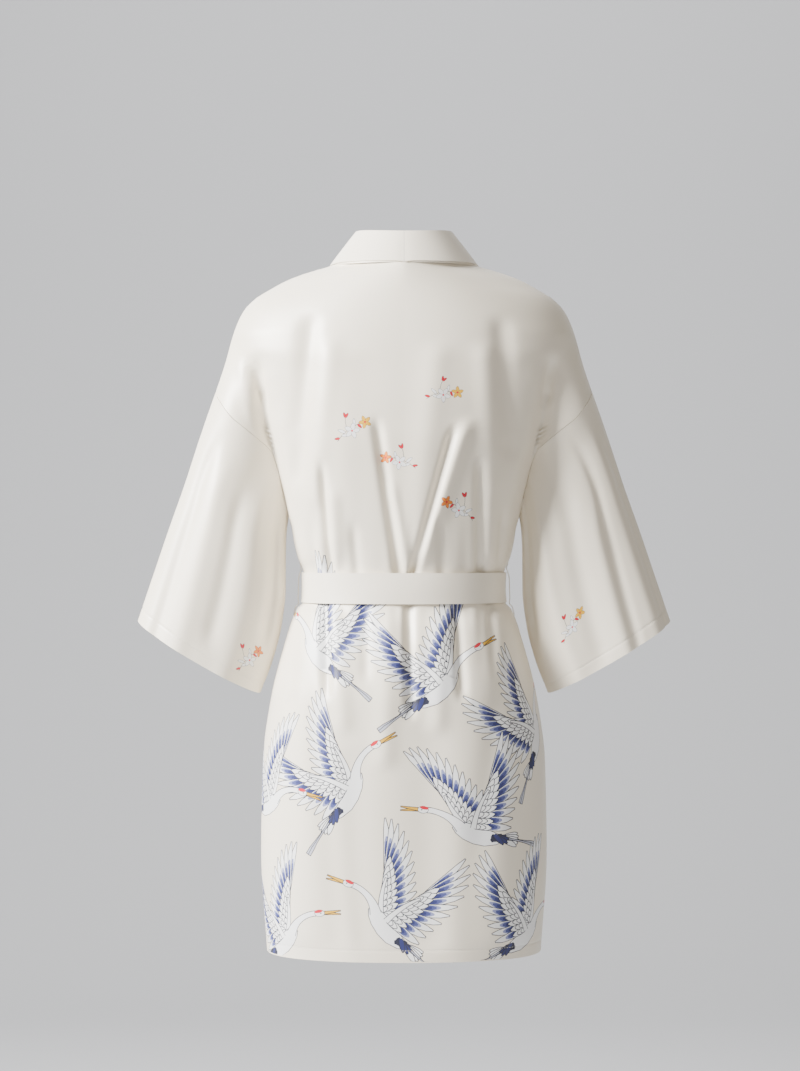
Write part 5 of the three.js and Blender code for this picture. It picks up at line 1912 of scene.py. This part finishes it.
def main() -> None:
    """Builds the robe in order and dresses each piece."""
    sizes: dict[str, list] = {}
    save_bounds("cad", sizes)
    cloth = SatinFinish("ivory satin").material()
    band_cloth = SatinFinish("ivory satin band", (0.85, 0.79, 0.68), (0.81, 0.74, 0.615), 0.44).material()
    thread = SatinFinish("ivory thread", (0.8, 0.77, 0.7), (0.74, 0.7, 0.62), 0.5, thread=3000.0).material()
    inks = [PlainFinish(f"ink {ink.name.lower()}", ink.value, 0.42).material() for ink in Ink]
    printed = [cloth, *inks]

    back, back_grid = BodyPanel("back_cloth", Face.BACK, Side.LEFT, BACK_FOLDS, phase=0.3,
                                inked=inked(BACK_CRANES, BACK_SPRAYS)).build()
    dress(back, printed, "back_panel")
    left, left_grid = BodyPanel("front_left_cloth", Face.FRONT, Side.LEFT, LEFT_FRONT_FOLDS, 4.0, phase=1.7,
                                inked=inked(LEFT_FRONT_CRANES, LEFT_FRONT_SPRAYS)).build()
    dress(left, printed, "front_left")
    right, right_grid = BodyPanel("front_right_cloth", Face.FRONT, Side.RIGHT, RIGHT_FRONT_FOLDS, phase=4.1,
                                  inked=inked(RIGHT_FRONT_CRANES, RIGHT_FRONT_SPRAYS)).build()
    dress(right, printed, "front_right")
    hems = Stitches()
    for name, panel, grid, slot, cut in (
        ("back_hem_stitches", back, back_grid, "satin_back", BACK_CUT),
        ("front_left_hem_stitches", left, left_grid, "satin_front", FRONT_CUT),
        ("front_right_hem_stitches", right, right_grid, "satin_front", FRONT_CUT),
    ):
        row = sew(hems.build(name, [hems.line(grid, BodyPanel.hem_line)], thread))
        cut.declare(panel, grid, "hung", [row])

    for side, folds, phase, sprays in (
        (Side.LEFT, LEFT_SLEEVE_FOLDS, 0.6, LEFT_SLEEVE_SPRAYS),
        (Side.RIGHT, RIGHT_SLEEVE_FOLDS, 2.9, RIGHT_SLEEVE_SPRAYS),
    ):
        name = side.name.lower()
        made = Sleeve(f"sleeve_{name}_cloth", side, folds, phase=phase, inked=inked(sprays=sprays))
        sleeve, grid = made.build()
        dress(sleeve, printed, f"sleeve_{name}")
        line = hems.line(grid, -Sleeve.length * Sleeve.cuff_w)
        row = sew(hems.build(f"cuff_{name}_stitches", [line], thread))
        SLEEVE_CUT.declare(sleeve, grid, "hung", [row])

    for side, lap, phase, panel in ((Side.LEFT, 4.0, 0.2, left_grid), (Side.RIGHT, 0.0, 1.1, right_grid)):
        name = side.name.lower()
        collar, grid = CollarBand(f"collar_{name}_cloth", side, lap, phase=phase).build(back_grid, panel)
        dress(collar, [band_cloth], f"collar_{name}")
        COLLAR_CUT.declare(collar, grid, "folded")

    belt = Belt()
    band, grid = belt.band()
    dress(band, [band_cloth], "belt_band")
    BELT_CUT.declare(band, grid, "stretched")
    dress(belt.knot(), [band_cloth], "belt_knot")
    for side, x, bottom, cut in FREE_ENDS:
        end, grid = belt.free_end(side, x, bottom)
        dress(end, [band_cloth], f"belt_tail_{side.name.lower()}")
        cut.declare(end, grid, "hung", rests_on=["belt_knot_cloth"])
        dress(belt.side_loop(side), [band_cloth], f"belt_loop_{side.name.lower()}")

    Studio().build()
    save_bounds("scene", sizes)


if __name__ == "__main__":
    main()
